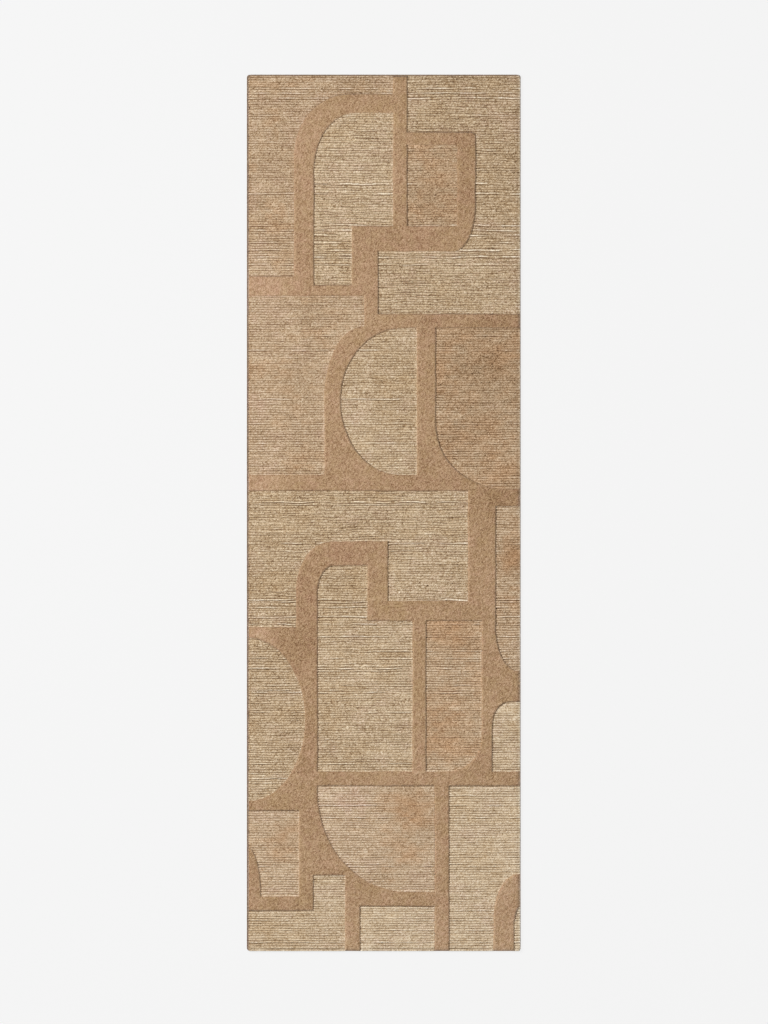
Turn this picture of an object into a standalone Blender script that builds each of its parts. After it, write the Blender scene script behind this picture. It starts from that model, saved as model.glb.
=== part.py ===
"""A runner rug: carved cut pile bands round fields of level loop pile, on three bonded cloths.

Metres, +Z up. The origin is the middle of the underside, +Y runs along the rug towards
the arched end, and +X runs across it. The pattern is a card of CARD_WIDTH by CARD_LENGTH
that is stretched to the rug's size, while each band keeps its own width.
"""

import math
from collections import namedtuple

import bmesh
import bpy

# The whole rug.
RUG_WIDTH = 0.762
RUG_LENGTH = 2.438
CORNER_RADIUS = 0.008

# The cloths, from the floor up, and the yarn on them.
SECONDARY_BACKING_THICKNESS = 0.0012
LATEX_THICKNESS = 0.0008
PRIMARY_BACKING_THICKNESS = 0.0008
LOOP_PILE_HEIGHT = 0.0063
CUT_PILE_HEIGHT = 0.0098

# The overcast yarn along the rug's edges.
BINDING_WIDTH = 0.0045
BINDING_HEIGHT = 0.0062
BINDING_ROUNDING = 0.0016

# Clearance between pieces that touch.
SEAT_GAP = 0.0003

# The pattern card, on which every place below is given, from the card's middle.
CARD_WIDTH = 0.762
CARD_LENGTH = 2.438
ARC_SAGITTA = 0.0004

Band = namedtuple("Band", "low high")


def column(middle, width):
    """A band that runs along the rug, as its two values of X."""
    x = middle * RUG_WIDTH / CARD_WIDTH
    return Band(x - width / 2, x + width / 2)


def row(middle, width):
    """A band that runs across the rug, as its two values of Y."""
    y = middle * RUG_LENGTH / CARD_LENGTH
    return Band(y - width / 2, y + width / 2)


def across(place):
    """A single place across the card, as a value of X on the rug."""
    return place * RUG_WIDTH / CARD_WIDTH


def along(place):
    """A single place along the card, as a value of Y on the rug."""
    return place * RUG_LENGTH / CARD_LENGTH


# The pile stops inside the binding.
RIGHT = RUG_WIDTH / 2 - BINDING_WIDTH - SEAT_GAP / 2
LEFT = -RIGHT
TOP = RUG_LENGTH / 2 - BINDING_WIDTH - SEAT_GAP / 2
BOTTOM = -TOP
PILE_CORNER = max(CORNER_RADIUS - BINDING_WIDTH, SEAT_GAP)

# Bands that run along the rug, from the arched end down.
ARCH_LEG = column(-0.221, 0.056)
ARCH_STEM = column(0.046, 0.040)
HOOK_SHAFT = column(0.230, 0.052)
ARCH_POST = column(-0.052, 0.074)
NECK_WIDTH = 0.039
SHOULDER_LEG = column(-0.142, 0.045)
MAST = column(0.119, 0.053)
STAIR_LEG = column(-0.213, 0.060)
STAIR_RISER = column(-0.016, 0.058)
PIER = column(0.273, 0.078)
SPLIT = column(0.099, 0.038)
UPRIGHT_RAIL = column(0.287, 0.030)
BOWL_WALL = column(-0.201, 0.035)
SAIL_LUFF = column(-0.209, 0.052)
SAIL_LEECH = column(0.162, 0.041)
BOOT_HEEL_WIDTH = 0.040
BOOT_TOE = column(-0.086, 0.042)
CORNER_ARC = column(0.334, 0.058)

# Bands that run across the rug, from the arched end down.
ARCH_HEAD = row(1.138, 0.053)
HOOK_LID = row(1.0405, 0.036)
HOOK_FLOOR = row(0.762, 0.072)
ARCH_SILL = row(0.630, 0.056)
ARCH_FOOT_WIDTH = 0.031
NECK_SILL = row(0.533, 0.039)
BRIDGE_TOP = row(0.083, 0.045)
BAY_SILL = row(0.042, 0.049)
STAIR_TREAD = row(-0.113, 0.068)
STAIR_SILL = row(-0.273, 0.056)
LEG_SILL = row(-0.333, 0.031)
PIER_FOOT = row(-0.483, 0.086)
LONG_SILL = row(-0.739, 0.040)
BOWL_SILL = row(-0.815, 0.028)
SAIL_SILL = row(-1.0745, 0.040)
BOOT_SILL = row(-1.0865, 0.039)

# Single places that no band's two sides give.
NECK_SHOULDER = along(0.519)
BOOT_CUFF = along(-1.008)
TAB_NOTCH = (across(-0.3405), along(-0.932))
CORNER_ARC_TOP = along(-1.004)
CHIP_TOP = along(-1.096)


def loop_field_outlines():
    """The corners of each loop field: (x, y) where square, (x, y, rx, ry) where rounded."""
    neck_left = ARCH_POST.high - NECK_WIDTH
    arch_foot = ARCH_SILL.low + ARCH_FOOT_WIDTH
    boot_back = SAIL_LUFF.low + BOOT_HEEL_WIDTH
    return {
        "loop_arch_outer": [
            (LEFT, ARCH_SILL.high),
            (ARCH_LEG.low, ARCH_SILL.high),
            (ARCH_LEG.low, ARCH_HEAD.high, 0.153, 0.172),
            (ARCH_STEM.low, ARCH_HEAD.high),
            (ARCH_STEM.low, TOP),
            (LEFT, TOP, PILE_CORNER, PILE_CORNER),
        ],
        "loop_arch_inner": [
            (ARCH_LEG.high, arch_foot),
            (ARCH_POST.low, arch_foot),
            (ARCH_POST.low, HOOK_FLOOR.high),
            (ARCH_STEM.low, HOOK_FLOOR.high),
            (ARCH_STEM.low, ARCH_HEAD.low),
            (ARCH_LEG.high, ARCH_HEAD.low, 0.115, 0.160),
        ],
        "loop_hook": [
            (ARCH_POST.high, NECK_SILL.high),
            (RIGHT, NECK_SILL.high),
            (RIGHT, TOP, PILE_CORNER, PILE_CORNER),
            (ARCH_STEM.high, TOP),
            (ARCH_STEM.high, HOOK_LID.high),
            (HOOK_SHAFT.high, HOOK_LID.high, 0.012, 0.012),
            (HOOK_SHAFT.high, HOOK_FLOOR.low, 0.064, 0.125),
            (ARCH_POST.high, HOOK_FLOOR.low),
        ],
        "loop_tile": [
            (ARCH_STEM.high, HOOK_FLOOR.high),
            (HOOK_SHAFT.low, HOOK_FLOOR.high),
            (HOOK_SHAFT.low, HOOK_LID.low),
            (ARCH_STEM.high, HOOK_LID.low),
        ],
        "loop_shoulder": [
            (LEFT, BRIDGE_TOP.high),
            (SHOULDER_LEG.low, BRIDGE_TOP.high),
            (SHOULDER_LEG.low, NECK_SHOULDER, neck_left - SHOULDER_LEG.low, 0.194),
            (neck_left, NECK_SHOULDER),
            (neck_left, ARCH_SILL.low),
            (LEFT, ARCH_SILL.low),
        ],
        "loop_half_disc": [
            (SHOULDER_LEG.high, BRIDGE_TOP.high, 0.165, 0.209),
            (MAST.low, BRIDGE_TOP.high),
            (MAST.low, NECK_SILL.low),
            (SHOULDER_LEG.high, NECK_SILL.low, 0.173, 0.200),
        ],
        "loop_bay": [
            (MAST.high, BAY_SILL.high, 0.195, 0.181),
            (RIGHT, BAY_SILL.high),
            (RIGHT, NECK_SILL.low),
            (MAST.high, NECK_SILL.low),
        ],
        "loop_bridge": [
            (LEFT, LEG_SILL.high),
            (STAIR_LEG.low, LEG_SILL.high),
            (STAIR_LEG.low, STAIR_TREAD.high, 0.098, 0.136),
            (STAIR_RISER.high, STAIR_TREAD.high),
            (STAIR_RISER.high, STAIR_SILL.high),
            (PIER.low, STAIR_SILL.high),
            (PIER.low, BRIDGE_TOP.low),
            (LEFT, BRIDGE_TOP.low),
        ],
        "loop_stair": [
            (STAIR_LEG.high, LONG_SILL.high),
            (SPLIT.low, LONG_SILL.high),
            (SPLIT.low, STAIR_SILL.low),
            (STAIR_RISER.low, STAIR_SILL.low),
            (STAIR_RISER.low, STAIR_TREAD.low),
            (STAIR_LEG.high, STAIR_TREAD.low, 0.047, 0.072),
        ],
        "loop_upright": [
            (SPLIT.high, LONG_SILL.high),
            (UPRIGHT_RAIL.low, LONG_SILL.high, 0.089, 0.095),
            (UPRIGHT_RAIL.low, STAIR_SILL.low),
            (SPLIT.high, STAIR_SILL.low),
        ],
        "loop_sliver": [
            (PIER.high, PIER_FOOT.high, RIGHT - PIER.high, 0.125),
            (RIGHT, PIER_FOOT.high),
            (RIGHT, BAY_SILL.low),
            (PIER.high, BAY_SILL.low),
        ],
        "loop_bowl": [
            (LEFT, BOWL_SILL.high),
            (BOWL_WALL.low, BOWL_SILL.high, 0.160, 0.226),
            (BOWL_WALL.low, LEG_SILL.low, 0.160, 0.226),
            (LEFT, LEG_SILL.low),
        ],
        "loop_right_tab": [
            (UPRIGHT_RAIL.high, LONG_SILL.high),
            (RIGHT, LONG_SILL.high),
            (RIGHT, PIER_FOOT.low),
            (UPRIGHT_RAIL.high, PIER_FOOT.low, 0.047, 0.070),
        ],
        "loop_sail": [
            (SAIL_LUFF.high, SAIL_SILL.high, 0.251, 0.278),
            (SAIL_LEECH.low, SAIL_SILL.high),
            (SAIL_LEECH.low, LONG_SILL.low),
            (SAIL_LUFF.high, LONG_SILL.low),
        ],
        "loop_left_tab": [
            (TAB_NOTCH[0], BOOT_SILL.high),
            (SAIL_LUFF.low, BOOT_SILL.high),
            (SAIL_LUFF.low, BOWL_SILL.low),
            (LEFT, BOWL_SILL.low),
            (LEFT, TAB_NOTCH[1]),
            (*TAB_NOTCH, TAB_NOTCH[0] - LEFT, TAB_NOTCH[1] - BOOT_SILL.high),
        ],
        "loop_lower_right": [
            (SAIL_LEECH.high, BOTTOM),
            (CORNER_ARC.low, BOTTOM),
            (CORNER_ARC.low, CORNER_ARC_TOP, RIGHT - CORNER_ARC.low, 0.122),
            (RIGHT, CORNER_ARC_TOP),
            (RIGHT, LONG_SILL.low),
            (SAIL_LEECH.high, LONG_SILL.low),
        ],
        "loop_boot": [
            (LEFT, BOTTOM, PILE_CORNER, PILE_CORNER),
            (BOOT_TOE.low, BOTTOM),
            (BOOT_TOE.low, BOOT_CUFF),
            (boot_back, BOOT_CUFF),
            (boot_back, BOOT_SILL.low),
            (LEFT, BOOT_SILL.low),
        ],
        "loop_sill": [
            (BOOT_TOE.high, BOTTOM),
            (SAIL_LEECH.low, BOTTOM),
            (SAIL_LEECH.low, SAIL_SILL.low),
            (BOOT_TOE.high, SAIL_SILL.low),
        ],
        "loop_corner_chip": [
            (CORNER_ARC.high, BOTTOM),
            (RIGHT, BOTTOM, PILE_CORNER, PILE_CORNER),
            (RIGHT, CHIP_TOP),
            (CORNER_ARC.high, CHIP_TOP, RIGHT - CORNER_ARC.high, 0.067),
        ],
    }


def corner_arc_outline():
    """The cut pile band that the lower right corner cuts off from the rest."""
    return [
        (CORNER_ARC.low, BOTTOM),
        (CORNER_ARC.high, BOTTOM),
        (CORNER_ARC.high, CHIP_TOP, RIGHT - CORNER_ARC.high, 0.067),
        (RIGHT, CHIP_TOP),
        (RIGHT, CORNER_ARC_TOP),
        (CORNER_ARC.low, CORNER_ARC_TOP, RIGHT - CORNER_ARC.low, 0.122),
    ]


def rounded_rectangle(half_width, half_length, radius):
    """The corners of a rectangle about the origin, each with one radius."""
    signs = ((-1, -1), (1, -1), (1, 1), (-1, 1))
    return [(sx * half_width, sy * half_length, radius, radius) for sx, sy in signs]


def step_sign(value):
    """-1, 0 or 1: the way a side runs, with no length left in it."""
    return (value > 1e-9) - (value < -1e-9)


def offset_corners(corners, growth):
    """The corners moved out by growth along both of their sides, radii following.

    Sides are parallel to the axes and the corners run anticlockwise, so a side's outer
    face is on its right.
    """
    moved = []
    for index, corner in enumerate(corners):
        x, y = corner[:2]
        rx, ry = corner[2:] if len(corner) == 4 else (0.0, 0.0)
        before = corners[index - 1]
        after = corners[(index + 1) % len(corners)]
        arriving = (step_sign(x - before[0]), step_sign(y - before[1]))
        leaving = (step_sign(after[0] - x), step_sign(after[1] - y))
        turn = arriving[0] * leaving[1] - arriving[1] * leaving[0]
        out_x = (arriving[1] + leaving[1]) * growth
        out_y = -(arriving[0] + leaving[0]) * growth
        if rx and ry:
            rx = max(rx + turn * growth, 0.0)
            ry = max(ry + turn * growth, 0.0)
        moved.append((x + out_x, y + out_y, rx, ry))
    return moved


def fitted_radii(corners):
    """Each corner's radii, scaled down together where two neighbours would overrun their side."""
    radii = [corner[2:] for corner in corners]
    for index, corner in enumerate(corners):
        following = (index + 1) % len(corners)
        other = corners[following]
        axis = 0 if abs(other[0] - corner[0]) > abs(other[1] - corner[1]) else 1
        side = abs(other[axis] - corner[axis])
        wanted = radii[index][axis] + radii[following][axis]
        if wanted > side:
            share = side / wanted
            for end in (index, following):
                pair = list(radii[end])
                pair[axis] *= share
                radii[end] = tuple(pair)
    return radii


def outline_points(corners, growth=0.0):
    """The closed outline as points, with each rounded corner as a quarter of an ellipse."""
    corners = offset_corners(corners, growth)
    radii = fitted_radii(corners)
    points = []
    for index, (x, y, _, _) in enumerate(corners):
        rx, ry = radii[index]
        if min(rx, ry) < ARC_SAGITTA:
            points.append((x, y))
            continue
        before = corners[index - 1]
        after = corners[(index + 1) % len(corners)]
        back = (step_sign(before[0] - x), step_sign(before[1] - y))
        ahead = (step_sign(after[0] - x), step_sign(after[1] - y))
        centre = (x + (back[0] + ahead[0]) * rx, y + (back[1] + ahead[1]) * ry)
        steps = max(2, math.ceil(math.pi / 4 / math.acos(1 - ARC_SAGITTA / max(rx, ry))))
        for step in range(steps + 1):
            angle = math.pi / 2 * step / steps
            reach_ahead, reach_back = math.cos(angle), math.sin(angle)
            points.append(
                (
                    centre[0] - rx * (ahead[0] * reach_ahead + back[0] * reach_back),
                    centre[1] - ry * (ahead[1] * reach_ahead + back[1] * reach_back),
                )
            )
    return [p for i, p in enumerate(points) if math.dist(p, points[i - 1]) > 1e-6]


def clear_scene():
    """Leave nothing of an earlier scene."""
    for obj in list(bpy.data.objects):
        bpy.data.objects.remove(obj, do_unlink=True)


def new_collection(name, rendered=True):
    """A collection linked to the scene."""
    made = bpy.data.collections.new(name)
    made.hide_render = not rendered
    bpy.context.scene.collection.children.link(made)
    return made


def yarn_or_cloth(name, colour, roughness, metallic=0.0):
    """A Principled material for one piece."""
    made = bpy.data.materials.new(name)
    made.use_nodes = True
    shader = made.node_tree.nodes["Principled BSDF"]
    shader.inputs["Base Color"].default_value = (*colour, 1.0)
    shader.inputs["Roughness"].default_value = roughness
    shader.inputs["Metallic"].default_value = metallic
    return made


def slab_from_outline(name, points, bottom, thickness, collection):
    """A flat outline, filled on both faces and extruded to its thickness, as a 2D curve."""
    curve = bpy.data.curves.new(name, "CURVE")
    curve.dimensions = "2D"
    curve.fill_mode = "BOTH"
    curve.extrude = thickness / 2
    spline = curve.splines.new("POLY")
    spline.points.add(len(points) - 1)
    for point, (x, y) in zip(spline.points, points):
        point.co = (x, y, 0.0, 1.0)
    spline.use_cyclic_u = True
    slab = bpy.data.objects.new(name, curve)
    slab.location.z = bottom + thickness / 2
    collection.objects.link(slab)
    return slab


def as_mesh(curve_object):
    """The curve object's solid as a mesh object of the same name, with its caps welded on."""
    bpy.context.view_layer.update()
    graph = bpy.context.evaluated_depsgraph_get()
    mesh = bpy.data.meshes.new_from_object(curve_object.evaluated_get(graph))
    work = bmesh.new()
    work.from_mesh(mesh)
    bmesh.ops.remove_doubles(work, verts=work.verts, dist=1e-6)
    bmesh.ops.recalc_face_normals(work, faces=work.faces)
    work.to_mesh(mesh)
    work.free()
    name = curve_object.name
    collection = curve_object.users_collection[0]
    place = curve_object.matrix_world.copy()
    bpy.data.objects.remove(curve_object, do_unlink=True)
    solid = bpy.data.objects.new(name, mesh)
    solid.matrix_world = place
    collection.objects.link(solid)
    return solid


def build_cloths(collection):
    """The secondary backing, the latex coat and the primary backing, and the height above them."""
    half_width = RUG_WIDTH / 2 - BINDING_WIDTH - SEAT_GAP
    half_length = RUG_LENGTH / 2 - BINDING_WIDTH - SEAT_GAP
    points = outline_points(rounded_rectangle(half_width, half_length, PILE_CORNER))
    cloths = (
        ("secondary_backing", SECONDARY_BACKING_THICKNESS, (0.36, 0.29, 0.20), 0.95),
        ("latex_coat", LATEX_THICKNESS, (0.46, 0.43, 0.37), 0.60),
        ("primary_backing", PRIMARY_BACKING_THICKNESS, (0.40, 0.34, 0.26), 0.90),
    )
    level = 0.0
    for name, thickness, colour, roughness in cloths:
        cloth = slab_from_outline(name, points, level, thickness, collection)
        cloth.data.materials.append(yarn_or_cloth(name, colour, roughness))
        level += thickness + SEAT_GAP
    return level


def build_loop_fields(collection, cutters, base):
    """Each recessed field of loop pile, and the cutter that clears its place in the cut pile."""
    for name, corners in loop_field_outlines().items():
        points = outline_points(corners, -SEAT_GAP / 2)
        field = slab_from_outline(name, points, base, LOOP_PILE_HEIGHT, collection)
        field.data.materials.append(yarn_or_cloth(name, (0.50, 0.37, 0.23), 0.92))
        add_cutter("clear_" + name, corners, base, cutters)


def add_cutter(name, corners, base, cutters):
    """A helper solid that stands through the cut pile, half a gap outside the outline."""
    points = outline_points(corners, SEAT_GAP / 2)
    height = 2 * CUT_PILE_HEIGHT
    cutter = as_mesh(slab_from_outline(name, points, base - height / 4, height, cutters))
    cutter.hide_render = True
    cutter.display_type = "WIRE"


def build_cut_pile(collection, cutters, base):
    """The raised bands: one corner arc, and the network that is left of the whole pile."""
    tan = (0.45, 0.28, 0.16)
    arc_points = outline_points(corner_arc_outline(), -SEAT_GAP / 2)
    arc = slab_from_outline(
        "cut_pile_corner_arc", arc_points, base, CUT_PILE_HEIGHT, collection
    )
    arc.data.materials.append(yarn_or_cloth("cut_pile_corner_arc", tan, 0.95))
    add_cutter("clear_corner_arc", corner_arc_outline(), base, cutters)

    whole = rounded_rectangle(RIGHT, TOP, PILE_CORNER)
    whole_points = outline_points(whole, -SEAT_GAP / 2)
    network = as_mesh(
        slab_from_outline("cut_pile_network", whole_points, base, CUT_PILE_HEIGHT, collection)
    )
    network.data.materials.append(yarn_or_cloth("cut_pile_network", tan, 0.95))
    carve = network.modifiers.new("carve_fields", "BOOLEAN")
    carve.operation = "DIFFERENCE"
    carve.solver = "EXACT"
    carve.operand_type = "COLLECTION"
    carve.collection = cutters


def build_bindings(collection):
    """The overcast yarn: a strip round each long side and its corners, and one on each end."""
    half_width, half_length = RUG_WIDTH / 2, RUG_LENGTH / 2
    inner_radius = CORNER_RADIUS - BINDING_WIDTH
    reach = half_width - CORNER_RADIUS
    side = [
        (reach, half_length - BINDING_WIDTH),
        (half_width - BINDING_WIDTH, half_length - BINDING_WIDTH, inner_radius, inner_radius),
        (half_width - BINDING_WIDTH, BINDING_WIDTH - half_length, inner_radius, inner_radius),
        (reach, BINDING_WIDTH - half_length),
        (reach, -half_length),
        (half_width, -half_length, CORNER_RADIUS, CORNER_RADIUS),
        (half_width, half_length, CORNER_RADIUS, CORNER_RADIUS),
        (reach, half_length),
    ]
    end_reach = reach - SEAT_GAP
    end = [
        (-end_reach, half_length - BINDING_WIDTH),
        (end_reach, half_length - BINDING_WIDTH),
        (end_reach, half_length),
        (-end_reach, half_length),
    ]
    turned = {
        "binding_right": side,
        "binding_left": [(-corner[0], -corner[1], *corner[2:]) for corner in side],
        "binding_top": end,
        "binding_bottom": [(-corner[0], -corner[1], *corner[2:]) for corner in end],
    }
    for name, corners in turned.items():
        points = outline_points(corners)
        strip = as_mesh(slab_from_outline(name, points, 0.0, BINDING_HEIGHT, collection))
        strip.data.materials.append(yarn_or_cloth(name, (0.30, 0.22, 0.15), 0.90))
        rounding = strip.modifiers.new("rounding", "BEVEL")
        rounding.width = BINDING_ROUNDING
        rounding.segments = 2
        rounding.limit_method = "ANGLE"
        rounding.angle_limit = math.radians(50)


def main():
    """Build the rug from the floor up."""
    clear_scene()
    rug = new_collection("runner_rug")
    cutters = new_collection("rug_cutters", rendered=False)
    pile_base = build_cloths(rug)
    build_loop_fields(rug, cutters, pile_base)
    build_cut_pile(rug, cutters, pile_base)
    build_bindings(rug)


main()
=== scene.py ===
"""The looks of a runner rug: ribbed loop pile fields between raised, carved bands of cut pile.

The pile, the three bonded cloths and the overcast edges are surfaces worked out with numpy on
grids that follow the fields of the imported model, so every place and size comes from the frame.
"""

from __future__ import annotations

import logging
import math
from collections.abc import Callable
from dataclasses import dataclass, field
from enum import Enum, IntEnum

import bmesh
import bpy
import numpy as np
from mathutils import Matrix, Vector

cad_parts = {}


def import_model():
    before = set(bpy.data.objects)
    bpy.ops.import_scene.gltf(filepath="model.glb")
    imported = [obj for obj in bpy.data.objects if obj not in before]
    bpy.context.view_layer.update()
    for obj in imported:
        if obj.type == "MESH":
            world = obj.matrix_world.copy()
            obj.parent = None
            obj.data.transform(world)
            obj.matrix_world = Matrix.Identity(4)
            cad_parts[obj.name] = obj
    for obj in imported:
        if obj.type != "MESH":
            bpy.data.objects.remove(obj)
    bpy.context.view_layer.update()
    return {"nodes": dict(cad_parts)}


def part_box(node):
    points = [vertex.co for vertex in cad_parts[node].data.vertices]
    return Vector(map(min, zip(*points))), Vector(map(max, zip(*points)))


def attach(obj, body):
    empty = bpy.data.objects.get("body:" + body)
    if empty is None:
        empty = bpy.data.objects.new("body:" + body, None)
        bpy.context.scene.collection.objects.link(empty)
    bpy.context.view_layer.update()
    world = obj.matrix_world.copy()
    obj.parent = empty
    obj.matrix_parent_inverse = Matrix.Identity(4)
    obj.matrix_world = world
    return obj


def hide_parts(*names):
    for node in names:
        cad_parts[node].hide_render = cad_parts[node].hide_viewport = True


LOG = logging.getLogger("runner_rug")
BODY = "root"
BAKE_MAP = "OFBake"
MM = 0.001
LATTICE_SIZE = 512
TABLE_SIZE = 1024
SPECKLE_LIMIT = 2.2
SHARP_TURN = math.radians(40)
LEVEL_SLACK = 0.05 * MM


class Seed(IntEnum):
    """What each table of random values is for."""

    WAVER_X_LONG = 1
    WAVER_X_SHORT = 2
    WAVER_Y_LONG = 3
    WAVER_Y_SHORT = 4
    ROW_ROAM = 11
    ROW_WIGGLE = 12
    PROUD_LONG = 21
    PROUD_SHORT = 22
    DEEP_LONG = 23
    DEEP_SHORT = 24
    BOLD_ROW = 25
    BOLD_STRETCH = 26
    LOOP_HEIGHT = 27
    LOOP_SHADE = 28
    FIELD_SHADE_WIDE = 31
    FIELD_SHADE_SMALL = 32
    FIELD_WEAR = 33
    FIELD_DRIFT_WIDE = 34
    FIELD_DRIFT_SMALL = 35
    TUFT_X = 41
    TUFT_Y = 42
    TUFT_TIP = 43
    SHEAR = 44
    BAND_SHADE_WIDE = 45
    BAND_SHADE_SMALL = 46
    BAND_DRIFT_WIDE = 47
    BAND_DRIFT_SMALL = 48
    SHOULDER = 49
    GROOVE_SHADE = 50
    COCKLE = 51
    WRAP = 61
    WRAP_DRIFT = 62


# ------------------------------------------------------------------ shapes shared by the pieces


def smooth_noise(x: np.ndarray, y: np.ndarray, cell: tuple[float, float], seed: int) -> np.ndarray:
    """Random values on a lattice, joined by a smoothstep in both directions.

    Args:
        x: Places across the rug, in metres.
        y: Places along the rug, in metres.
        cell: The lattice's spacing in X and in Y, in metres.
        seed: Picks the lattice's values.

    Returns:
        Noise from -1 to 1 at each place.
    """
    size = LATTICE_SIZE
    lattice = np.random.default_rng(seed).uniform(-1.0, 1.0, (size, size))
    u, v = np.broadcast_arrays(x / cell[0], y / cell[1])
    column, row = np.floor(u).astype(int), np.floor(v).astype(int)
    u, v = u - column, v - row
    u, v = u * u * (3 - 2 * u), v * v * (3 - 2 * v)
    left, right, low, high = column % size, (column + 1) % size, row % size, (row + 1) % size
    below = lattice[left, low] * (1 - u) + lattice[right, low] * u
    above = lattice[left, high] * (1 - u) + lattice[right, high] * u
    return below * (1 - v) + above * v


def speckle(row: np.ndarray, column: np.ndarray, seed: int) -> np.ndarray:
    """A random value for each row and column, normally spread round 0 and cut off at a limit.

    Args:
        row: Whole row numbers.
        column: Whole column numbers.
        seed: Picks the table of values.

    Returns:
        One value per place, the same wherever the row and the column are the same.
    """
    table = np.random.default_rng(seed).normal(0.0, 1.0, (TABLE_SIZE, TABLE_SIZE))
    return np.clip(table[row % TABLE_SIZE, column % TABLE_SIZE], -SPECKLE_LIMIT, SPECKLE_LIMIT)


@dataclass(frozen=True)
class Patch:
    """A soft round area where the yarn is lighter or darker, and more ochre or more rosy.

    Args:
        x: Its middle, across the rug.
        y: Its middle, along the rug.
        radius: How far it reaches before it has faded to about a third.
        shade: How much lighter it is, or darker where negative.
        ochre: How much more ochre it is, or rosier where negative.
        wear: How flat the rows are trodden.
    """

    x: float
    y: float
    radius: float
    shade: float = 0.0
    ochre: float = 0.0
    wear: float = 0.0

    def weight(self, x: np.ndarray, y: np.ndarray) -> np.ndarray:
        """A bell curve of the distance from the middle, 1 there and nearly 0 past two radii."""
        squared = ((x - self.x) ** 2 + (y - self.y) ** 2) / self.radius**2
        return np.exp(-squared)


@dataclass(frozen=True)
class Outline:
    """The straight steps round a piece's top face, each with the pile on its left.

    Args:
        starts: Where each step starts, as rows of X and Y.
        ends: Where each step ends, as rows of X and Y.
    """

    starts: np.ndarray
    ends: np.ndarray

    @classmethod
    def of_node(cls, node: bpy.types.Object) -> Outline:
        """Reads the rim of a flat topped solid.

        Args:
            node: The solid, whose mesh may be loose triangles.

        Returns:
            The edges that only one triangle of the top face uses.
        """
        mesh = node.data
        mesh.calc_loop_triangles()
        place = np.empty(len(mesh.vertices) * 3, np.float32)
        mesh.vertices.foreach_get("co", place)
        place = place.reshape(-1, 3).astype(float)
        faces = np.empty(len(mesh.loop_triangles) * 3, np.int32)
        mesh.loop_triangles.foreach_get("vertices", faces)
        _, first, merged = np.unique(
            np.round(place, 5), axis=0, return_index=True, return_inverse=True
        )
        place = place[first]
        faces = merged.reshape(-1)[faces].reshape(-1, 3)
        top = place[:, 2].max() - 2 * LEVEL_SLACK
        faces = faces[(place[faces][:, :, 2] > top).all(axis=1)]
        edges = np.concatenate([faces[:, [0, 1]], faces[:, [1, 2]], faces[:, [2, 0]]])
        count = len(place)
        forward = edges[:, 0] * count + edges[:, 1]
        backward = edges[:, 1] * count + edges[:, 0]
        rim = edges[~np.isin(forward, backward)]
        return cls(place[rim[:, 0], :2], place[rim[:, 1], :2])

    def inside(self, x: np.ndarray, y: np.ndarray) -> np.ndarray:
        """Finds the places in the outline: a ray towards +X crosses it an odd number of times.

        Args:
            x: Places across the rug.
            y: Places along the rug.

        Returns:
            True for each place that is inside.
        """
        crossed = np.zeros(np.shape(x), bool)
        for (ax, ay), (bx, by) in zip(self.starts, self.ends):
            if ay == by:
                continue
            spans = (ay > y) != (by > y)
            crossed ^= spans & (x < ax + (y - ay) * (bx - ax) / (by - ay))
        return crossed

    def nearest(self, x: np.ndarray, y: np.ndarray) -> tuple[np.ndarray, np.ndarray, np.ndarray]:
        """The closest point of the outline to each place.

        Args:
            x: Places across the rug.
            y: Places along the rug.

        Returns:
            The distance, and the X and Y of the closest point.
        """
        best = np.full(np.shape(x), np.inf)
        near_x, near_y = np.array(x, float), np.array(y, float)
        for (ax, ay), (bx, by) in zip(self.starts, self.ends):
            dx, dy = bx - ax, by - ay
            along = np.clip(((x - ax) * dx + (y - ay) * dy) / (dx * dx + dy * dy), 0.0, 1.0)
            on_x, on_y = ax + along * dx, ay + along * dy
            squared = (x - on_x) ** 2 + (y - on_y) ** 2
            closer = squared < best
            best = np.where(closer, squared, best)
            near_x, near_y = np.where(closer, on_x, near_x), np.where(closer, on_y, near_y)
        return np.sqrt(best), near_x, near_y

    def corners(self) -> np.ndarray:
        """Finds the sharp corners, where one step turns from the one before by over 40 degrees.

        Returns:
            The corners, as rows of X and Y.
        """
        order = np.lexsort((self.starts[:, 1].round(6), self.starts[:, 0].round(6)))
        matched = np.lexsort((self.ends[:, 1].round(6), self.ends[:, 0].round(6)))
        leaving = (self.ends - self.starts)[order]
        arriving = (self.ends - self.starts)[matched]
        turn = (leaving * arriving).sum(axis=1)
        turn /= np.linalg.norm(leaving, axis=1) * np.linalg.norm(arriving, axis=1)
        return self.starts[order][turn < math.cos(SHARP_TURN)]


@dataclass
class Surface:
    """A mesh in the making.

    Args:
        places: X, Y and Z of each vertex.
        quads: The four vertices of each face.
        values: Values that the vertices carry for the finish to read, by name.
    """

    places: np.ndarray
    quads: np.ndarray
    values: dict[str, np.ndarray] = field(default_factory=dict)

    def as_object(self, name: str) -> bpy.types.Object:
        """Puts the surface into a smooth shaded mesh object at the origin.

        Args:
            name: The piece's name.

        Returns:
            The object, linked to the scene.
        """
        mesh = bpy.data.meshes.new(name)
        mesh.vertices.add(len(self.places))
        mesh.vertices.foreach_set("co", self.places.astype(np.float32).ravel())
        mesh.loops.add(self.quads.size)
        mesh.loops.foreach_set("vertex_index", self.quads.astype(np.int32).ravel())
        mesh.polygons.add(len(self.quads))
        mesh.polygons.foreach_set("loop_start", np.arange(0, self.quads.size, 4, dtype=np.int32))
        for key, carried in self.values.items():
            layer = mesh.attributes.new(key, "FLOAT", "POINT")
            layer.data.foreach_set("value", carried.astype(np.float32).ravel())
        mesh.update(calc_edges=True)
        mesh.polygons.foreach_set("use_smooth", np.ones(len(self.quads), bool))
        made = bpy.data.objects.new(name, mesh)
        bpy.context.scene.collection.objects.link(made)
        return made


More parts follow.
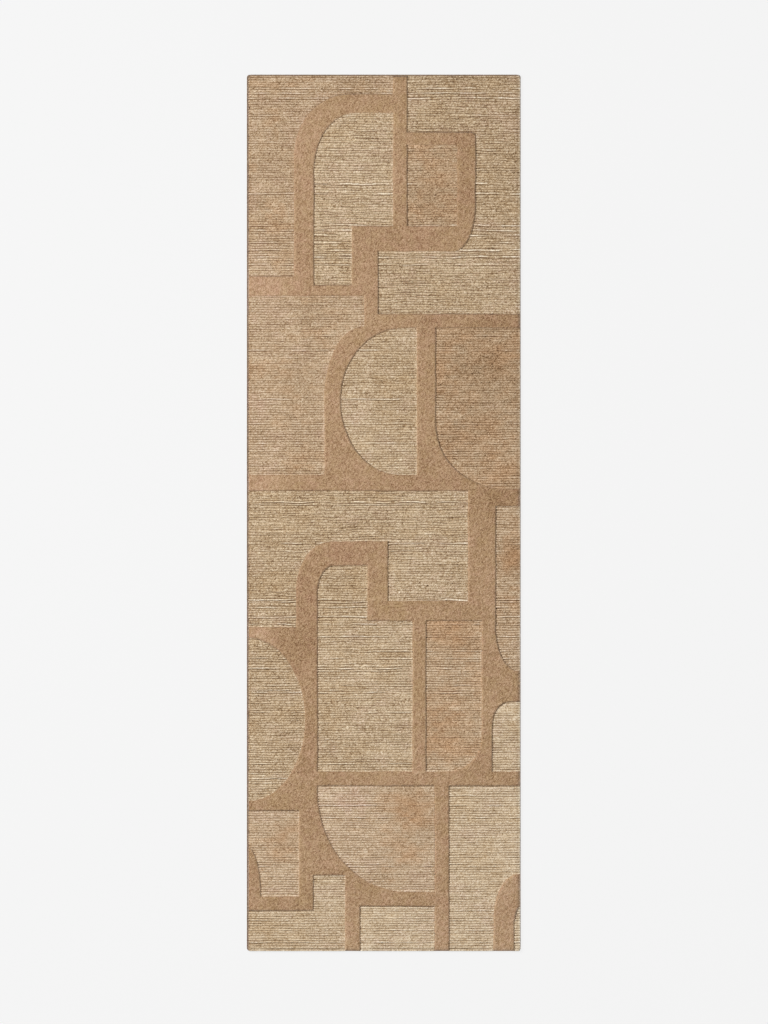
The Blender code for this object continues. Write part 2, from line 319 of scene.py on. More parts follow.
def steps_across(low: float, high: float, step: float, spare: int) -> np.ndarray:
    """Counts the steps that cover a stretch, from the rug's middle.

    Args:
        low: Where the stretch starts.
        high: Where it ends.
        step: The size of one step.
        spare: How many more steps there are at each end.

    Returns:
        The whole numbers of the steps.
    """
    return np.arange(math.floor(low / step) - spare, math.ceil(high / step) + spare)


def grid_quads(rows: int, columns: int) -> np.ndarray:
    """Joins up a grid whose vertices run row by row.

    Args:
        rows: The number of rows.
        columns: The number of vertices in a row.

    Returns:
        The four vertices of each face, wound so that it faces +Z.
    """
    index = np.arange(rows * columns).reshape(rows, columns)
    return np.stack(
        [index[:-1, :-1], index[:-1, 1:], index[1:, 1:], index[1:, :-1]], axis=-1
    ).reshape(-1, 4)


def rim_of(quads: np.ndarray, count: int) -> np.ndarray:
    """Finds the edges that only one face uses.

    Args:
        quads: The four vertices of each face.
        count: The number of vertices.

    Returns:
        The start and the end of each such edge, with its face on the left.
    """
    edges = np.concatenate([quads[:, [i, (i + 1) % 4]] for i in range(4)])
    forward = edges[:, 0] * count + edges[:, 1]
    backward = edges[:, 1] * count + edges[:, 0]
    return edges[~np.isin(forward, backward)]


def set_bake_map(mesh: bpy.types.Mesh, spread: np.ndarray, base: float) -> None:
    """Lays the mesh out for baking: seen from above, with its walls folded outwards.

    Args:
        mesh: The mesh, whose underside is flat at the height base.
        spread: Each vertex's place on the map, in metres, with the lower rim moved outwards.
        base: The height of the underside, which goes into a narrow strip of the map.
    """
    corner = np.empty(len(mesh.loops), np.int32)
    mesh.loops.foreach_get("vertex_index", corner)
    height = np.empty(len(mesh.vertices) * 3, np.float32)
    mesh.vertices.foreach_get("co", height)
    low_vertex = height.reshape(-1, 3)[:, 2] < base + LEVEL_SLACK
    counts = np.empty(len(mesh.polygons), np.int32)
    mesh.polygons.foreach_get("loop_total", counts)
    face = np.repeat(np.arange(len(counts)), counts)
    under = np.ones(len(counts), bool)
    np.logical_and.at(under, face, low_vertex[corner])
    low, high = spread.min(axis=0), spread.max(axis=0)
    flat = (spread[corner] - low) / (high - low)
    top_share, strip = 0.96, 0.03
    placed = flat * [1.0, top_share]
    placed[under[face]] = flat[under[face]] * [1.0, strip] + [0.0, 1.0 - strip]
    layer = mesh.uv_layers.new(name=BAKE_MAP)
    layer.uv.foreach_set("vector", placed.astype(np.float32).ravel())


def close_underside(mesh: bpy.types.Mesh) -> None:
    """Fills the open rim at the mesh's foot with flat faces that look down.

    Args:
        mesh: The mesh, open underneath only.
    """
    work = bmesh.new()
    work.from_mesh(mesh)
    rim = [edge for edge in work.edges if edge.is_boundary]
    filled = bmesh.ops.triangle_fill(work, use_beauty=False, edges=rim, normal=(0, 0, -1))
    made = [part for part in filled["geom"] if isinstance(part, bmesh.types.BMFace)]
    upward = [face for face in made if face.normal.z > 0]
    bmesh.ops.reverse_faces(work, faces=upward)
    work.to_mesh(mesh)
    work.free()


# ------------------------------------------------------------------ finishes


def linear(red: int, green: int, blue: int) -> tuple[float, float, float, float]:
    """Turns a display colour into the linear colour that shaders use.

    Args:
        red: Red, from 0 to 255.
        green: Green, from 0 to 255.
        blue: Blue, from 0 to 255.

    Returns:
        Red, green, blue and a full alpha, from 0 to 1.
    """
    share = np.array([red, green, blue]) / 255
    curved = np.where(share <= 0.04045, share / 12.92, ((share + 0.055) / 1.055) ** 2.4)
    return (*curved.tolist(), 1.0)


class NodeSheet:
    """A node tree with short calls to add nodes and join them."""

    def __init__(self, tree: bpy.types.NodeTree) -> None:
        """Keeps the tree that the nodes go into."""
        self.tree = tree

    def add(self, kind: str, settings: dict | None = None, **inputs: object) -> bpy.types.Node:
        """Adds a node.

        Args:
            kind: The node's type.
            settings: Its own properties.
            inputs: Its sockets by name, with _ for a space: a number, or a socket to join.

        Returns:
            The node.
        """
        node = self.tree.nodes.new(kind)
        for key, value in (settings or {}).items():
            setattr(node, key, value)
        for key, value in inputs.items():
            self.feed(node.inputs[key.replace("_", " ")], value)
        return node

    def feed(self, socket: bpy.types.NodeSocket, value: object) -> None:
        """Joins another socket to this one, or sets its value.

        Args:
            socket: The input.
            value: A socket or a number.
        """
        if isinstance(value, bpy.types.NodeSocket):
            self.tree.links.new(value, socket)
        else:
            socket.default_value = value

    def maths(self, operation: str, *values: object) -> bpy.types.NodeSocket:
        """Adds a Math node.

        Args:
            operation: What it does.
            values: Numbers, or sockets to join.

        Returns:
            Its result.
        """
        node = self.tree.nodes.new("ShaderNodeMath")
        node.operation = operation
        for socket, value in zip(node.inputs, values):
            self.feed(socket, value)
        return node.outputs[0]

    def blend(
        self, factor: object, first: object, second: object, how: str = "MIX"
    ) -> bpy.types.NodeSocket:
        """Adds a Mix node for colours.

        Args:
            factor: How far it goes from the first colour to the second.
            first: The first colour.
            second: The second colour.
            how: The way it blends.

        Returns:
            Its result.
        """
        node = self.tree.nodes.new("ShaderNodeMix")
        node.data_type = "RGBA"
        node.blend_type = how
        self.feed(node.inputs["Factor"], factor)
        self.feed(node.inputs[6], first)
        self.feed(node.inputs[7], second)
        return node.outputs[2]

    def noise(self, vector: object, scale: object, detail: float) -> bpy.types.NodeSocket:
        """A noise texture's value from 0 to 1, with scale in cells per metre."""
        node = self.add("ShaderNodeTexNoise", Vector=vector, Scale=scale, Detail=detail)
        return node.outputs["Fac"]

    def carried(self, name: str) -> bpy.types.NodeSocket:
        """A value that the mesh carries at its vertices."""
        return self.add("ShaderNodeAttribute", {"attribute_name": name}).outputs["Fac"]

    def here(self) -> bpy.types.NodeSocket:
        """The place on the piece, in metres."""
        return self.add("ShaderNodeTexCoord").outputs["Object"]


def node_group(
    name: str, inputs: dict[str, tuple[str, object]], outputs: dict[str, str]
) -> tuple[bpy.types.NodeTree, NodeSheet, bpy.types.Node, bpy.types.Node]:
    """Starts a shader node group.

    Args:
        name: The group's name.
        inputs: Each input's socket type and default value.
        outputs: Each output's socket type.

    Returns:
        The group, its sheet, its input node and its output node.
    """
    group = bpy.data.node_groups.new(name, "ShaderNodeTree")
    for key, (kind, value) in inputs.items():
        socket = group.interface.new_socket(key, in_out="INPUT", socket_type=kind)
        socket.default_value = value
    for key, kind in outputs.items():
        group.interface.new_socket(key, in_out="OUTPUT", socket_type=kind)
    sheet = NodeSheet(group)
    return group, sheet, sheet.add("NodeGroupInput"), sheet.add("NodeGroupOutput")


class YarnEffects:
    """The node groups that the yarn and cloth finishes share, each built once."""

    def __init__(self) -> None:
        """Builds every group."""
        self.fibre = self.build_fibre()
        self.dye = self.build_dye()
        self.weave = self.build_weave()

    @staticmethod
    def build_fibre() -> bpy.types.NodeTree:
        """Fine fibre: 0.65 of a coarse noise on a stretched place and 0.35 of a finer one.

        Returns:
            The group, which gives the sum as grain and as height.
        """
        group, sheet, given, out = node_group(
            "yarn fibre",
            {
                "Stretch": ("NodeSocketVector", (1.0, 1.0, 1.0)),
                "Fineness": ("NodeSocketFloat", 400.0),
            },
            {"Grain": "NodeSocketFloat", "Height": "NodeSocketFloat"},
        )
        place = sheet.add(
            "ShaderNodeMapping", Vector=sheet.here(), Scale=given.outputs["Stretch"]
        ).outputs[0]
        fineness = given.outputs["Fineness"]
        strands = sheet.noise(place, fineness, 2.0)
        lint = sheet.noise(sheet.here(), sheet.maths("MULTIPLY", fineness, 2.3), 1.0)
        both = sheet.maths(
            "ADD", sheet.maths("MULTIPLY", strands, 0.65), sheet.maths("MULTIPLY", lint, 0.35)
        )
        sheet.feed(out.inputs["Grain"], both)
        sheet.feed(out.inputs["Height"], both)
        return group

    @staticmethod
    def build_dye() -> bpy.types.NodeTree:
        """Uneven dye: the yarn's colour, drifting to a rosy or an ochre shade, lighter or darker.

        The channels take the level to different powers, so that darker yarn is also richer. The
        shade it is given holds the dye's uneven tone, and also painted shade and painted
        highlights.

        Returns:
            The group, which gives the colour.
        """
        group, sheet, given, out = node_group(
            "uneven dye",
            {
                "Yarn": ("NodeSocketColor", (0.5, 0.4, 0.3, 1.0)),
                "Rosy": ("NodeSocketColor", (0.5, 0.4, 0.3, 1.0)),
                "Ochre": ("NodeSocketColor", (0.5, 0.4, 0.3, 1.0)),
                "Drift": ("NodeSocketFloat", 0.0),
                "Shade": ("NodeSocketFloat", 0.0),
                "Grain": ("NodeSocketFloat", 0.5),
                "Grain Strength": ("NodeSocketFloat", 0.5),
            },
            {"Color": "NodeSocketColor"},
        )
        drift = given.outputs["Drift"]
        to_ochre = sheet.maths("MAXIMUM", drift, 0.0)
        to_rosy = sheet.maths("MAXIMUM", sheet.maths("MULTIPLY", drift, -1.0), 0.0)
        dyed = sheet.blend(to_ochre, given.outputs["Yarn"], given.outputs["Ochre"])
        dyed = sheet.blend(to_rosy, dyed, given.outputs["Rosy"])
        swing = sheet.maths("SUBTRACT", given.outputs["Grain"], 0.5)
        swing = sheet.maths("MULTIPLY", swing, given.outputs["Grain Strength"])
        level = sheet.maths("ADD", sheet.maths("ADD", given.outputs["Shade"], 1.0), swing)
        level = sheet.maths("MAXIMUM", level, 0.05)
        rich = sheet.add(
            "ShaderNodeCombineXYZ",
            X=sheet.maths("POWER", level, 0.78),
            Y=level,
            Z=sheet.maths("POWER", level, 1.3),
        )
        lit = sheet.add("ShaderNodeVectorMath", {"operation": "MULTIPLY"})
        sheet.feed(lit.inputs[0], dyed)
        sheet.feed(lit.inputs[1], rich.outputs[0])
        sheet.feed(out.inputs["Color"], lit.outputs[0])
        return group

    @staticmethod
    def build_weave() -> bpy.types.NodeTree:
        """A plain weave: threads along X and along Y that pass over each other by turns.

        A thread's height is the absolute sine across it. The one along X is over where the
        product of both cosines is above 0.

        Returns:
            The group, which gives the height and which thread is over.
        """
        group, sheet, given, out = node_group(
            "plain weave",
            {"Threads": ("NodeSocketFloat", 400.0)},
            {"Height": "NodeSocketFloat", "Over": "NodeSocketFloat"},
        )
        parts = sheet.add("ShaderNodeSeparateXYZ", Vector=sheet.here())
        turn = sheet.maths("MULTIPLY", given.outputs["Threads"], math.pi)
        wave_x = sheet.maths("MULTIPLY", parts.outputs["X"], turn)
        wave_y = sheet.maths("MULTIPLY", parts.outputs["Y"], turn)
        round_x = sheet.maths("ABSOLUTE", sheet.maths("SINE", wave_x))
        round_y = sheet.maths("ABSOLUTE", sheet.maths("SINE", wave_y))
        over = sheet.maths(
            "MULTIPLY", sheet.maths("COSINE", wave_x), sheet.maths("COSINE", wave_y)
        )
        over = sheet.maths("GREATER_THAN", over, 0.0)
        under = sheet.maths("SUBTRACT", 1.0, over)
        height = sheet.maths(
            "ADD", sheet.maths("MULTIPLY", round_x, over), sheet.maths("MULTIPLY", round_y, under)
        )
        sheet.feed(out.inputs["Height"], height)
        sheet.feed(out.inputs["Over"], over)
        return group


@dataclass(frozen=True)
class YarnFinish:
    """A dyed pile yarn.

    Args:
        name: The material's name.
        yarn: The yarn's own colour.
        rosy: Its colour where the dye runs pinkish.
        ochre: Its colour where the dye runs yellowish.
        deep: What share of each channel is left at the foot of the pile: painted shade for furrows,
            walls and hollows.
        stretch: How the fibre is drawn out in X, Y and Z: a low number is long.
        fineness: Fibres per metre.
        grain: How far the fibre lightens and darkens the colour.
        relief: The fibre's height, in metres.
        roughness: The lowest and the highest roughness.
        sheen: The weight of the soft light along grazing views.
    """

    name: str
    yarn: tuple[float, float, float, float]
    rosy: tuple[float, float, float, float]
    ochre: tuple[float, float, float, float]
    deep: tuple[float, float, float]
    stretch: tuple[float, float, float]
    fineness: float
    grain: float
    relief: float
    roughness: tuple[float, float] = (0.82, 1.0)
    sheen: float = 0.12

    def material(self, effects: YarnEffects) -> bpy.types.Material:
        """Builds the material from the shared effects and this yarn's values.

        Args:
            effects: The shared node groups.

        Returns:
            The material, which reads the values crest, shade and drift that the mesh carries; a low
            crest paints in shade with the foot colour.
        """
        made = bpy.data.materials.new(self.name)
        made.use_nodes = True
        sheet = NodeSheet(made.node_tree)
        shader = made.node_tree.nodes["Principled BSDF"]
        fibre = sheet.add("ShaderNodeGroup", {"node_tree": effects.fibre})
        fibre.inputs["Stretch"].default_value = self.stretch
        fibre.inputs["Fineness"].default_value = self.fineness
        dye = sheet.add(
            "ShaderNodeGroup",
            {"node_tree": effects.dye},
            Yarn=self.yarn,
            Rosy=self.rosy,
            Ochre=self.ochre,
            Drift=sheet.carried("drift"),
            Shade=sheet.carried("shade"),
            Grain=fibre.outputs["Grain"],
            Grain_Strength=self.grain,
        )
        # Painted shade: the foot colour, which the crest value blends in where the pile lies in
        # furrows and hollows.
        foot = sheet.blend(1.0, dye.outputs["Color"], (*self.deep, 1.0), "MULTIPLY")
        colour = sheet.blend(sheet.carried("crest"), foot, dye.outputs["Color"])
        sheet.feed(shader.inputs["Base Color"], colour)
        spread = self.roughness[1] - self.roughness[0]
        rough = sheet.maths("MULTIPLY_ADD", fibre.outputs["Grain"], spread, self.roughness[0])
        sheet.feed(shader.inputs["Roughness"], rough)
        bump = sheet.add("ShaderNodeBump", Height=fibre.outputs["Height"], Distance=self.relief)
        bump.inputs["Strength"].default_value = 0.8
        sheet.feed(shader.inputs["Normal"], bump.outputs["Normal"])
        set_soft_cloth(shader, self.sheen)
        return made


@dataclass(frozen=True)
class ClothFinish:
    """A plain woven backing cloth.

    Args:
        name: The material's name.
        over: The colour of the threads that lie along X.
        under: The colour of the threads that lie along Y.
        threads: Threads per metre, each way.
        relief: The weave's height, in metres.
        gap: What share of each channel is left in the gaps between threads, as painted shade.
    """

    name: str
    over: tuple[float, float, float, float]
    under: tuple[float, float, float, float]
    threads: float
    relief: float
    gap: tuple[float, float, float] = (0.45, 0.42, 0.38)

    def material(self, effects: YarnEffects) -> bpy.types.Material:
        """Builds the material: woven threads, each a little uneven, with painted shade in the gaps.

        Args:
            effects: The shared node groups.

        Returns:
            The material.
        """
        made = bpy.data.materials.new(self.name)
        made.use_nodes = True
        sheet = NodeSheet(made.node_tree)
        shader = made.node_tree.nodes["Principled BSDF"]
        weave = sheet.add("ShaderNodeGroup", {"node_tree": effects.weave}, Threads=self.threads)
        fibre = sheet.add("ShaderNodeGroup", {"node_tree": effects.fibre})
        fibre.inputs["Fineness"].default_value = 0.6 * self.threads
        threads = sheet.blend(weave.outputs["Over"], self.under, self.over)
        # Painted shade: the gaps between threads are darkened by the weave's height.
        gaps = sheet.blend(1.0, threads, (*self.gap, 1.0), "MULTIPLY")
        threads_with_gap_shade = sheet.blend(weave.outputs["Height"], gaps, threads)
        slub = sheet.maths("MULTIPLY_ADD", fibre.outputs["Grain"], 0.5, 0.75)
        lit = sheet.add("ShaderNodeVectorMath", {"operation": "SCALE"})
        sheet.feed(lit.inputs[0], threads_with_gap_shade)
        sheet.feed(lit.inputs["Scale"], slub)
        sheet.feed(shader.inputs["Base Color"], lit.outputs[0])
        rough = sheet.maths("MULTIPLY_ADD", fibre.outputs["Grain"], 0.2, 0.75)
        sheet.feed(shader.inputs["Roughness"], rough)
        bump = sheet.add("ShaderNodeBump", Height=weave.outputs["Height"], Distance=self.relief)
        sheet.feed(shader.inputs["Normal"], bump.outputs["Normal"])
        set_soft_cloth(shader, 0.05)
        return made


def set_soft_cloth(shader: bpy.types.Node, sheen: float) -> None:
    """Sets what is the same all over a textile: little shine, and a soft sheen.

    Args:
        shader: The material's Principled BSDF.
        sheen: The weight of the sheen.
    """
    shader.inputs["Specular IOR Level"].default_value = 0.2
    shader.inputs["Sheen Weight"].default_value = sheen
    shader.inputs["Sheen Roughness"].default_value = 0.6


class Dye(Enum):
    """The finishes of the rug, by what they are for."""

    BEIGE_LOOP = "loop_pile"
    TAWNY_LOOP = "loop_pile_tawny"
    CUT = "cut_pile"
    EDGE = "edge_yarn"
    LATEX = "latex"
    FOUNDATION = "foundation_cloth"
    BACKING = "backing_cloth"


FINISHES: dict[Dye, YarnFinish | ClothFinish] = {
    Dye.BEIGE_LOOP: YarnFinish(
        "beige_loop_yarn",
        yarn=linear(211, 186, 152),
        rosy=linear(210, 179, 151),
        ochre=linear(205, 174, 133),
        deep=(0.39, 0.32, 0.25),
        stretch=(0.8, 1.0, 1.0),
        fineness=620.0,
        grain=4.4,
        relief=0.0007,
    ),
    Dye.TAWNY_LOOP: YarnFinish(
        "tawny_loop_yarn",
        yarn=linear(206, 179, 146),
        rosy=linear(206, 173, 146),
        ochre=linear(205, 165, 125),
        deep=(0.41, 0.33, 0.25),
        stretch=(0.8, 1.0, 1.0),
        fineness=620.0,
        grain=4.4,
        relief=0.0007,
    ),
    Dye.CUT: YarnFinish(
        "tan_cut_yarn",
        yarn=linear(176, 142, 107),
        rosy=linear(181, 142, 112),
        ochre=linear(172, 140, 98),
        deep=(0.5, 0.42, 0.34),
        stretch=(1.0, 1.0, 1.0),
        fineness=660.0,
        grain=5.0,
        relief=0.0009,
        roughness=(0.88, 1.0),
        sheen=0.16,
    ),
    Dye.EDGE: YarnFinish(
        "overcast_yarn",
        yarn=linear(150, 124, 102),
        rosy=linear(150, 122, 106),
        ochre=linear(148, 122, 94),
        deep=(0.5, 0.45, 0.4),
        stretch=(1.0, 1.0, 1.0),
        fineness=900.0,
        grain=0.7,
        relief=0.0004,
    ),
    Dye.LATEX: ClothFinish(
        "latex_coat",
        over=linear(196, 190, 176),
        under=linear(190, 184, 170),
        threads=180.0,
        relief=0.0001,
    ),
    Dye.FOUNDATION: ClothFinish(
        "foundation_cloth",
        over=linear(186, 172, 150),
        under=linear(172, 158, 136),
        threads=620.0,
        relief=0.0003,
    ),
    Dye.BACKING: ClothFinish(
        "coarse_backing_cloth",
        over=linear(190, 166, 130),
        under=linear(172, 148, 114),
        threads=240.0,
        relief=0.0006,
    ),
}


class Wardrobe:
    """Builds each finish's material once and dresses pieces in it."""

    def __init__(self) -> None:
        """Builds the shared effects."""
        self.effects = YarnEffects()
        self.made: dict[Dye, bpy.types.Material] = {}

    def dress(self, piece: bpy.types.Object, dye: Dye, *nodes: str) -> None:
        """Gives the piece its material and slot, lets it ride, and hides the solids it stands for.

        Args:
            piece: The finished piece.
            dye: Which finish it wears.
            nodes: The solids of the model that it replaces.
        """
        if dye not in self.made:
            self.made[dye] = FINISHES[dye].material(self.effects)
        piece.data.materials.clear()
        piece.data.materials.append(self.made[dye])
        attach(piece, BODY)
        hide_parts(*nodes)
        LOG.info("%s: %d faces, %s", piece.name, len(piece.data.polygons), dye.value)


# ------------------------------------------------------------------ pile


@dataclass(frozen=True)
class Nap:
    """How the whole pile stands: its carved lines waver, and it leans over two of the rug's edges.

    Args:
        waver: How far a carved line strays to either side.
        waver_fade: How far inside the rug's edge the lines start to stray in full.
        lean: How far the pile reaches out over the right edge, and over the bottom edge.
        start: How far inside those edges the lean starts.
        fall: How far the pile falls away towards the rug's edge.
        fall_width: How wide the strip is where it falls away.
        edge_tone: How much darker the pile is at the rug's left and top edge.
        parting: The Y above which the pile leans up the rug instead of down it.
        parting_width: How far from there the pile leans in full.
    """

    waver: float = 0.8 * MM
    waver_fade: float = 25 * MM
    lean: tuple[float, float] = (3.4 * MM, 4.4 * MM)
    start: float = 14 * MM
    fall: float = 3.0 * MM
    fall_width: float = 10.0 * MM
    edge_tone: float = 0.24
    parting: float = 0.55
    parting_width: float = 150 * MM

    def reach(self) -> np.ndarray:
        """Half the size of the cloth that the pile stands on, in X and Y."""
        return np.array(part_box("primary_backing")[1])[:2]

    def wavered(self, place: np.ndarray) -> np.ndarray:
        """Shifts places by a long and a short smooth noise that fade out at the rug's edge.

        The shift depends only on the place, so pieces that share a line stay in touch.

        Args:
            place: X and Y of each vertex.

        Returns:
            The shifted X and Y.
        """
        x, y = place.T
        inside = np.clip((self.reach() - np.abs(place)).min(axis=1) / self.waver_fade, 0, 1)
        shift_x = smooth_noise(x, y, (40 * MM, 45 * MM), Seed.WAVER_X_LONG)
        shift_x += 0.4 * smooth_noise(x, y, (11 * MM, 12 * MM), Seed.WAVER_X_SHORT)
        shift_y = smooth_noise(x, y, (45 * MM, 40 * MM), Seed.WAVER_Y_LONG)
        shift_y += 0.4 * smooth_noise(x, y, (12 * MM, 11 * MM), Seed.WAVER_Y_SHORT)
        return place + self.waver * inside[:, None] * np.stack([shift_x, shift_y], axis=1)

    def leaned(self, place: np.ndarray) -> np.ndarray:
        """Pushes the top of the pile out over the edge yarn, by the square of how near the edge is.

        Args:
            place: X and Y of each vertex.

        Returns:
            The shifted X and Y.
        """
        reach = self.reach()
        out_x = np.clip((place[:, 0] - reach[0] + self.start) / self.start, 0, 1) ** 2
        out_y = np.clip((-place[:, 1] - reach[1] + self.start) / self.start, 0, 1) ** 2
        return place + np.stack([self.lean[0] * out_x, -self.lean[1] * out_y], axis=1)

    def edge_fall(self, place: np.ndarray) -> np.ndarray:
        """Works out how far the pile has fallen: a square curve up to the rug's edge.

        Args:
            place: X and Y of each vertex.

        Returns:
            The fall at each vertex.
        """
        inside = (self.reach() - np.abs(place)).min(axis=1)
        return self.fall * np.clip(1 - inside / self.fall_width, 0, 1) ** 2

    def edge_shade(self, place: np.ndarray) -> np.ndarray:
        """Works out how much darker the pile is towards the rug's edges.

        It is darkest at the left and the top, a little dark at the right, and lighter instead at
        the bottom and in a thin right rim. The thin right rim is a painted highlight on the pile's
        right wall, which the lamp leaves in shade. Each strip fades in a straight line over its
        width.

        Args:
            place: X and Y of each vertex.

        Returns:
            How much darker each vertex is.
        """
        from_right, from_top = (self.reach() - place).T
        from_left, from_bottom = (self.reach() + place).T
        darker = self.edge_tone * np.clip(1 - from_left / (12 * MM), 0, 1)
        darker += self.edge_tone * np.clip(1 - from_top / (12 * MM), 0, 1)
        darker += 0.25 * self.edge_tone * np.clip(1 - from_right / (14 * MM), 0, 1)
        # Painted highlight: the thin right rim is painted lighter against the lamp's shade on that
        # wall.
        darker -= 2.8 * self.edge_tone * np.clip(1 - from_right / (3 * MM), 0, 1)
        darker -= 0.35 * self.edge_tone * np.clip(1 - from_bottom / (12 * MM), 0, 1)
        return darker


NAP = Nap()


@dataclass(frozen=True)
class Spot:
    """A kept vertex set of a pile piece, as the relief rules see it.

    Args:
        place: X and Y of each vertex.
        distance: How far each one is from the piece's edge.
        outward: The way to the nearest edge, as unit vectors.
        index: Each one's index on the whole grid.
    """

    place: np.ndarray
    distance: np.ndarray
    outward: np.ndarray
    index: np.ndarray

    def lee(self) -> np.ndarray:
        """Works out how the nap lies to the nearest edge.

        The nap leans to the right. Below a parting it also leans down, and above it up. The same
        lean picks the edges that get painted shade and the ones that get painted highlights.

        Returns:
            1 where it leans towards the edge, and -1 where it leans away.
        """
        down = np.clip((NAP.parting - self.place[:, 1]) / NAP.parting_width, -1, 1)
        return np.clip(self.outward[:, 0] - down * self.outward[:, 1], -1, 1)

    def depth(self) -> np.ndarray:
        """Works out how strong the line at the nearest edge is: how far loop rows roll down into
        it, and how much painted shade it gets.

        Lines across the rug get it in full. Upright ones get less of it down the rug.

        Returns:
            The share of the full depth.
        """
        upper = np.clip((self.place[:, 1] + 0.1) / 0.5, 0, 1)
        return 1 - (0.55 - 0.55 * upper) * np.abs(self.outward[:, 0])

    def side(self, x: float, y: float) -> np.ndarray:
        """1 where the nearest edge faces the way given, falling to 0 at a right angle to it."""
        return np.clip(self.outward @ np.array([x, y]), 0, 1)


def carved_pile(
    name: str,
    outline: Outline,
    grid: tuple[np.ndarray, np.ndarray],
    base: float,
    relief: Callable[[Spot], tuple[np.ndarray, dict[str, np.ndarray]]],
    tuck: float,
) -> bpy.types.Object:
    """Cuts a grid to the outline, raises it by a relief, and closes it with walls and an underside.

    A face stays where its middle is inside. The rim's vertices then move to the closest point of
    the outline, and the ones nearest its sharp corners move onto those.

    Args:
        name: The piece's name.
        outline: The pile's edge.
        grid: The grid's X and Y, as rows and columns.
        base: The height of the pile's foot.
        relief: Takes the kept vertices and gives their heights and carried values.
        tuck: How far the rim spreads against the pile beside it.

    Returns:
        The closed piece.
    """
    x, y = grid
    quads = grid_quads(*x.shape)
    flat_x, flat_y = x.ravel(), y.ravel()
    kept = outline.inside(flat_x[quads].mean(axis=1), flat_y[quads].mean(axis=1))
    used, quads = np.unique(quads[kept], return_inverse=True)
    quads = quads.reshape(-1, 4)
    place = np.stack([flat_x[used], flat_y[used]], axis=1)
    rim = rim_of(quads, len(used))
    edge = np.unique(rim)
    _, near_x, near_y = outline.nearest(place[edge, 0], place[edge, 1])
    place[edge] = np.stack([near_x, near_y], axis=1)
    for corner in outline.corners():
        closest = edge[np.argmin(((place[edge] - corner) ** 2).sum(axis=1))]
        place[closest] = corner
    count = len(used)
    lower = np.full(count, -1)
    lower[edge] = count + np.arange(len(edge))
    walls = np.stack([rim[:, 1], rim[:, 0], lower[rim[:, 0]], lower[rim[:, 1]]], axis=1)
    step = place[rim[:, 1]] - place[rim[:, 0]]
    out = np.zeros((count, 2))
    np.add.at(out, rim[:, 0], np.stack([step[:, 1], -step[:, 0]], axis=1))
    np.add.at(out, rim[:, 1], np.stack([step[:, 1], -step[:, 0]], axis=1))
    distance, near_x, near_y = outline.nearest(place[:, 0], place[:, 1])
    distance[edge] = 0.0
    inner = np.setdiff1d(np.arange(count), edge)
    out[inner] = np.stack([near_x, near_y], axis=1)[inner] - place[inner]
    out /= np.linalg.norm(out, axis=1, keepdims=True) + 1e-12
    height, values = relief(Spot(place, distance, out, used))
    height = height - NAP.edge_fall(place)
    # Darker strips along the rug's edges, and a painted highlight on the thin right rim.
    values["shade"] = values["shade"] - NAP.edge_shade(place)
    place[edge] += tuck * out[edge]
    foot = NAP.wavered(place)
    place = NAP.leaned(foot)
    top = np.column_stack([place, height])
    foot = np.column_stack([foot[edge], np.full(len(edge), base)])
    folded = place[edge] + out[edge] * (height[edge] - base)[:, None]
    for key in values:
        values[key] = np.concatenate([values[key], values[key][edge]])
    # Painted shade: the walls darken to the foot colour at their foot.
    values["crest"][count:] = 0.0
    shell = Surface(np.vstack([top, foot]), np.vstack([quads, walls]), values)
    piece = shell.as_object(name)
    close_underside(piece.data)
    set_bake_map(piece.data, np.vstack([place, folded]), base)
    return piece


@dataclass(frozen=True)
class RowHabit:
    """How the rows of a field behave.

    Args:
        roam: How far a row strays from its own line.
        roam_cell: How long and how wide such a stray is.
        wiggle: How far a row wiggles over a few loops.
        uneven: How much the rows' height and depth vary along them.
        bold: How strongly a few rows stand out.
        mottle: How much single loops differ.
    """

    roam: float
    roam_cell: tuple[float, float]
    wiggle: float
    uneven: float
    bold: float
    mottle: float


class RowLay(Enum):
    """The ways that rows lie."""

    EVEN = RowHabit(
        roam=0.45 * MM,
        roam_cell=(60 * MM, 15 * MM),
        wiggle=0.15 * MM,
        uneven=0.75,
        bold=1.2,
        mottle=1.0,
    )
    UNEVEN = RowHabit(
        roam=1.4 * MM,
        roam_cell=(60 * MM, 10 * MM),
        wiggle=0.3 * MM,
        uneven=0.6,
        bold=1.5,
        mottle=1.1,
    )
    LOOSE = RowHabit(
        roam=2.4 * MM,
        roam_cell=(60 * MM, 9 * MM),
        wiggle=0.45 * MM,
        uneven=0.55,
        bold=1.7,
        mottle=1.15,
    )


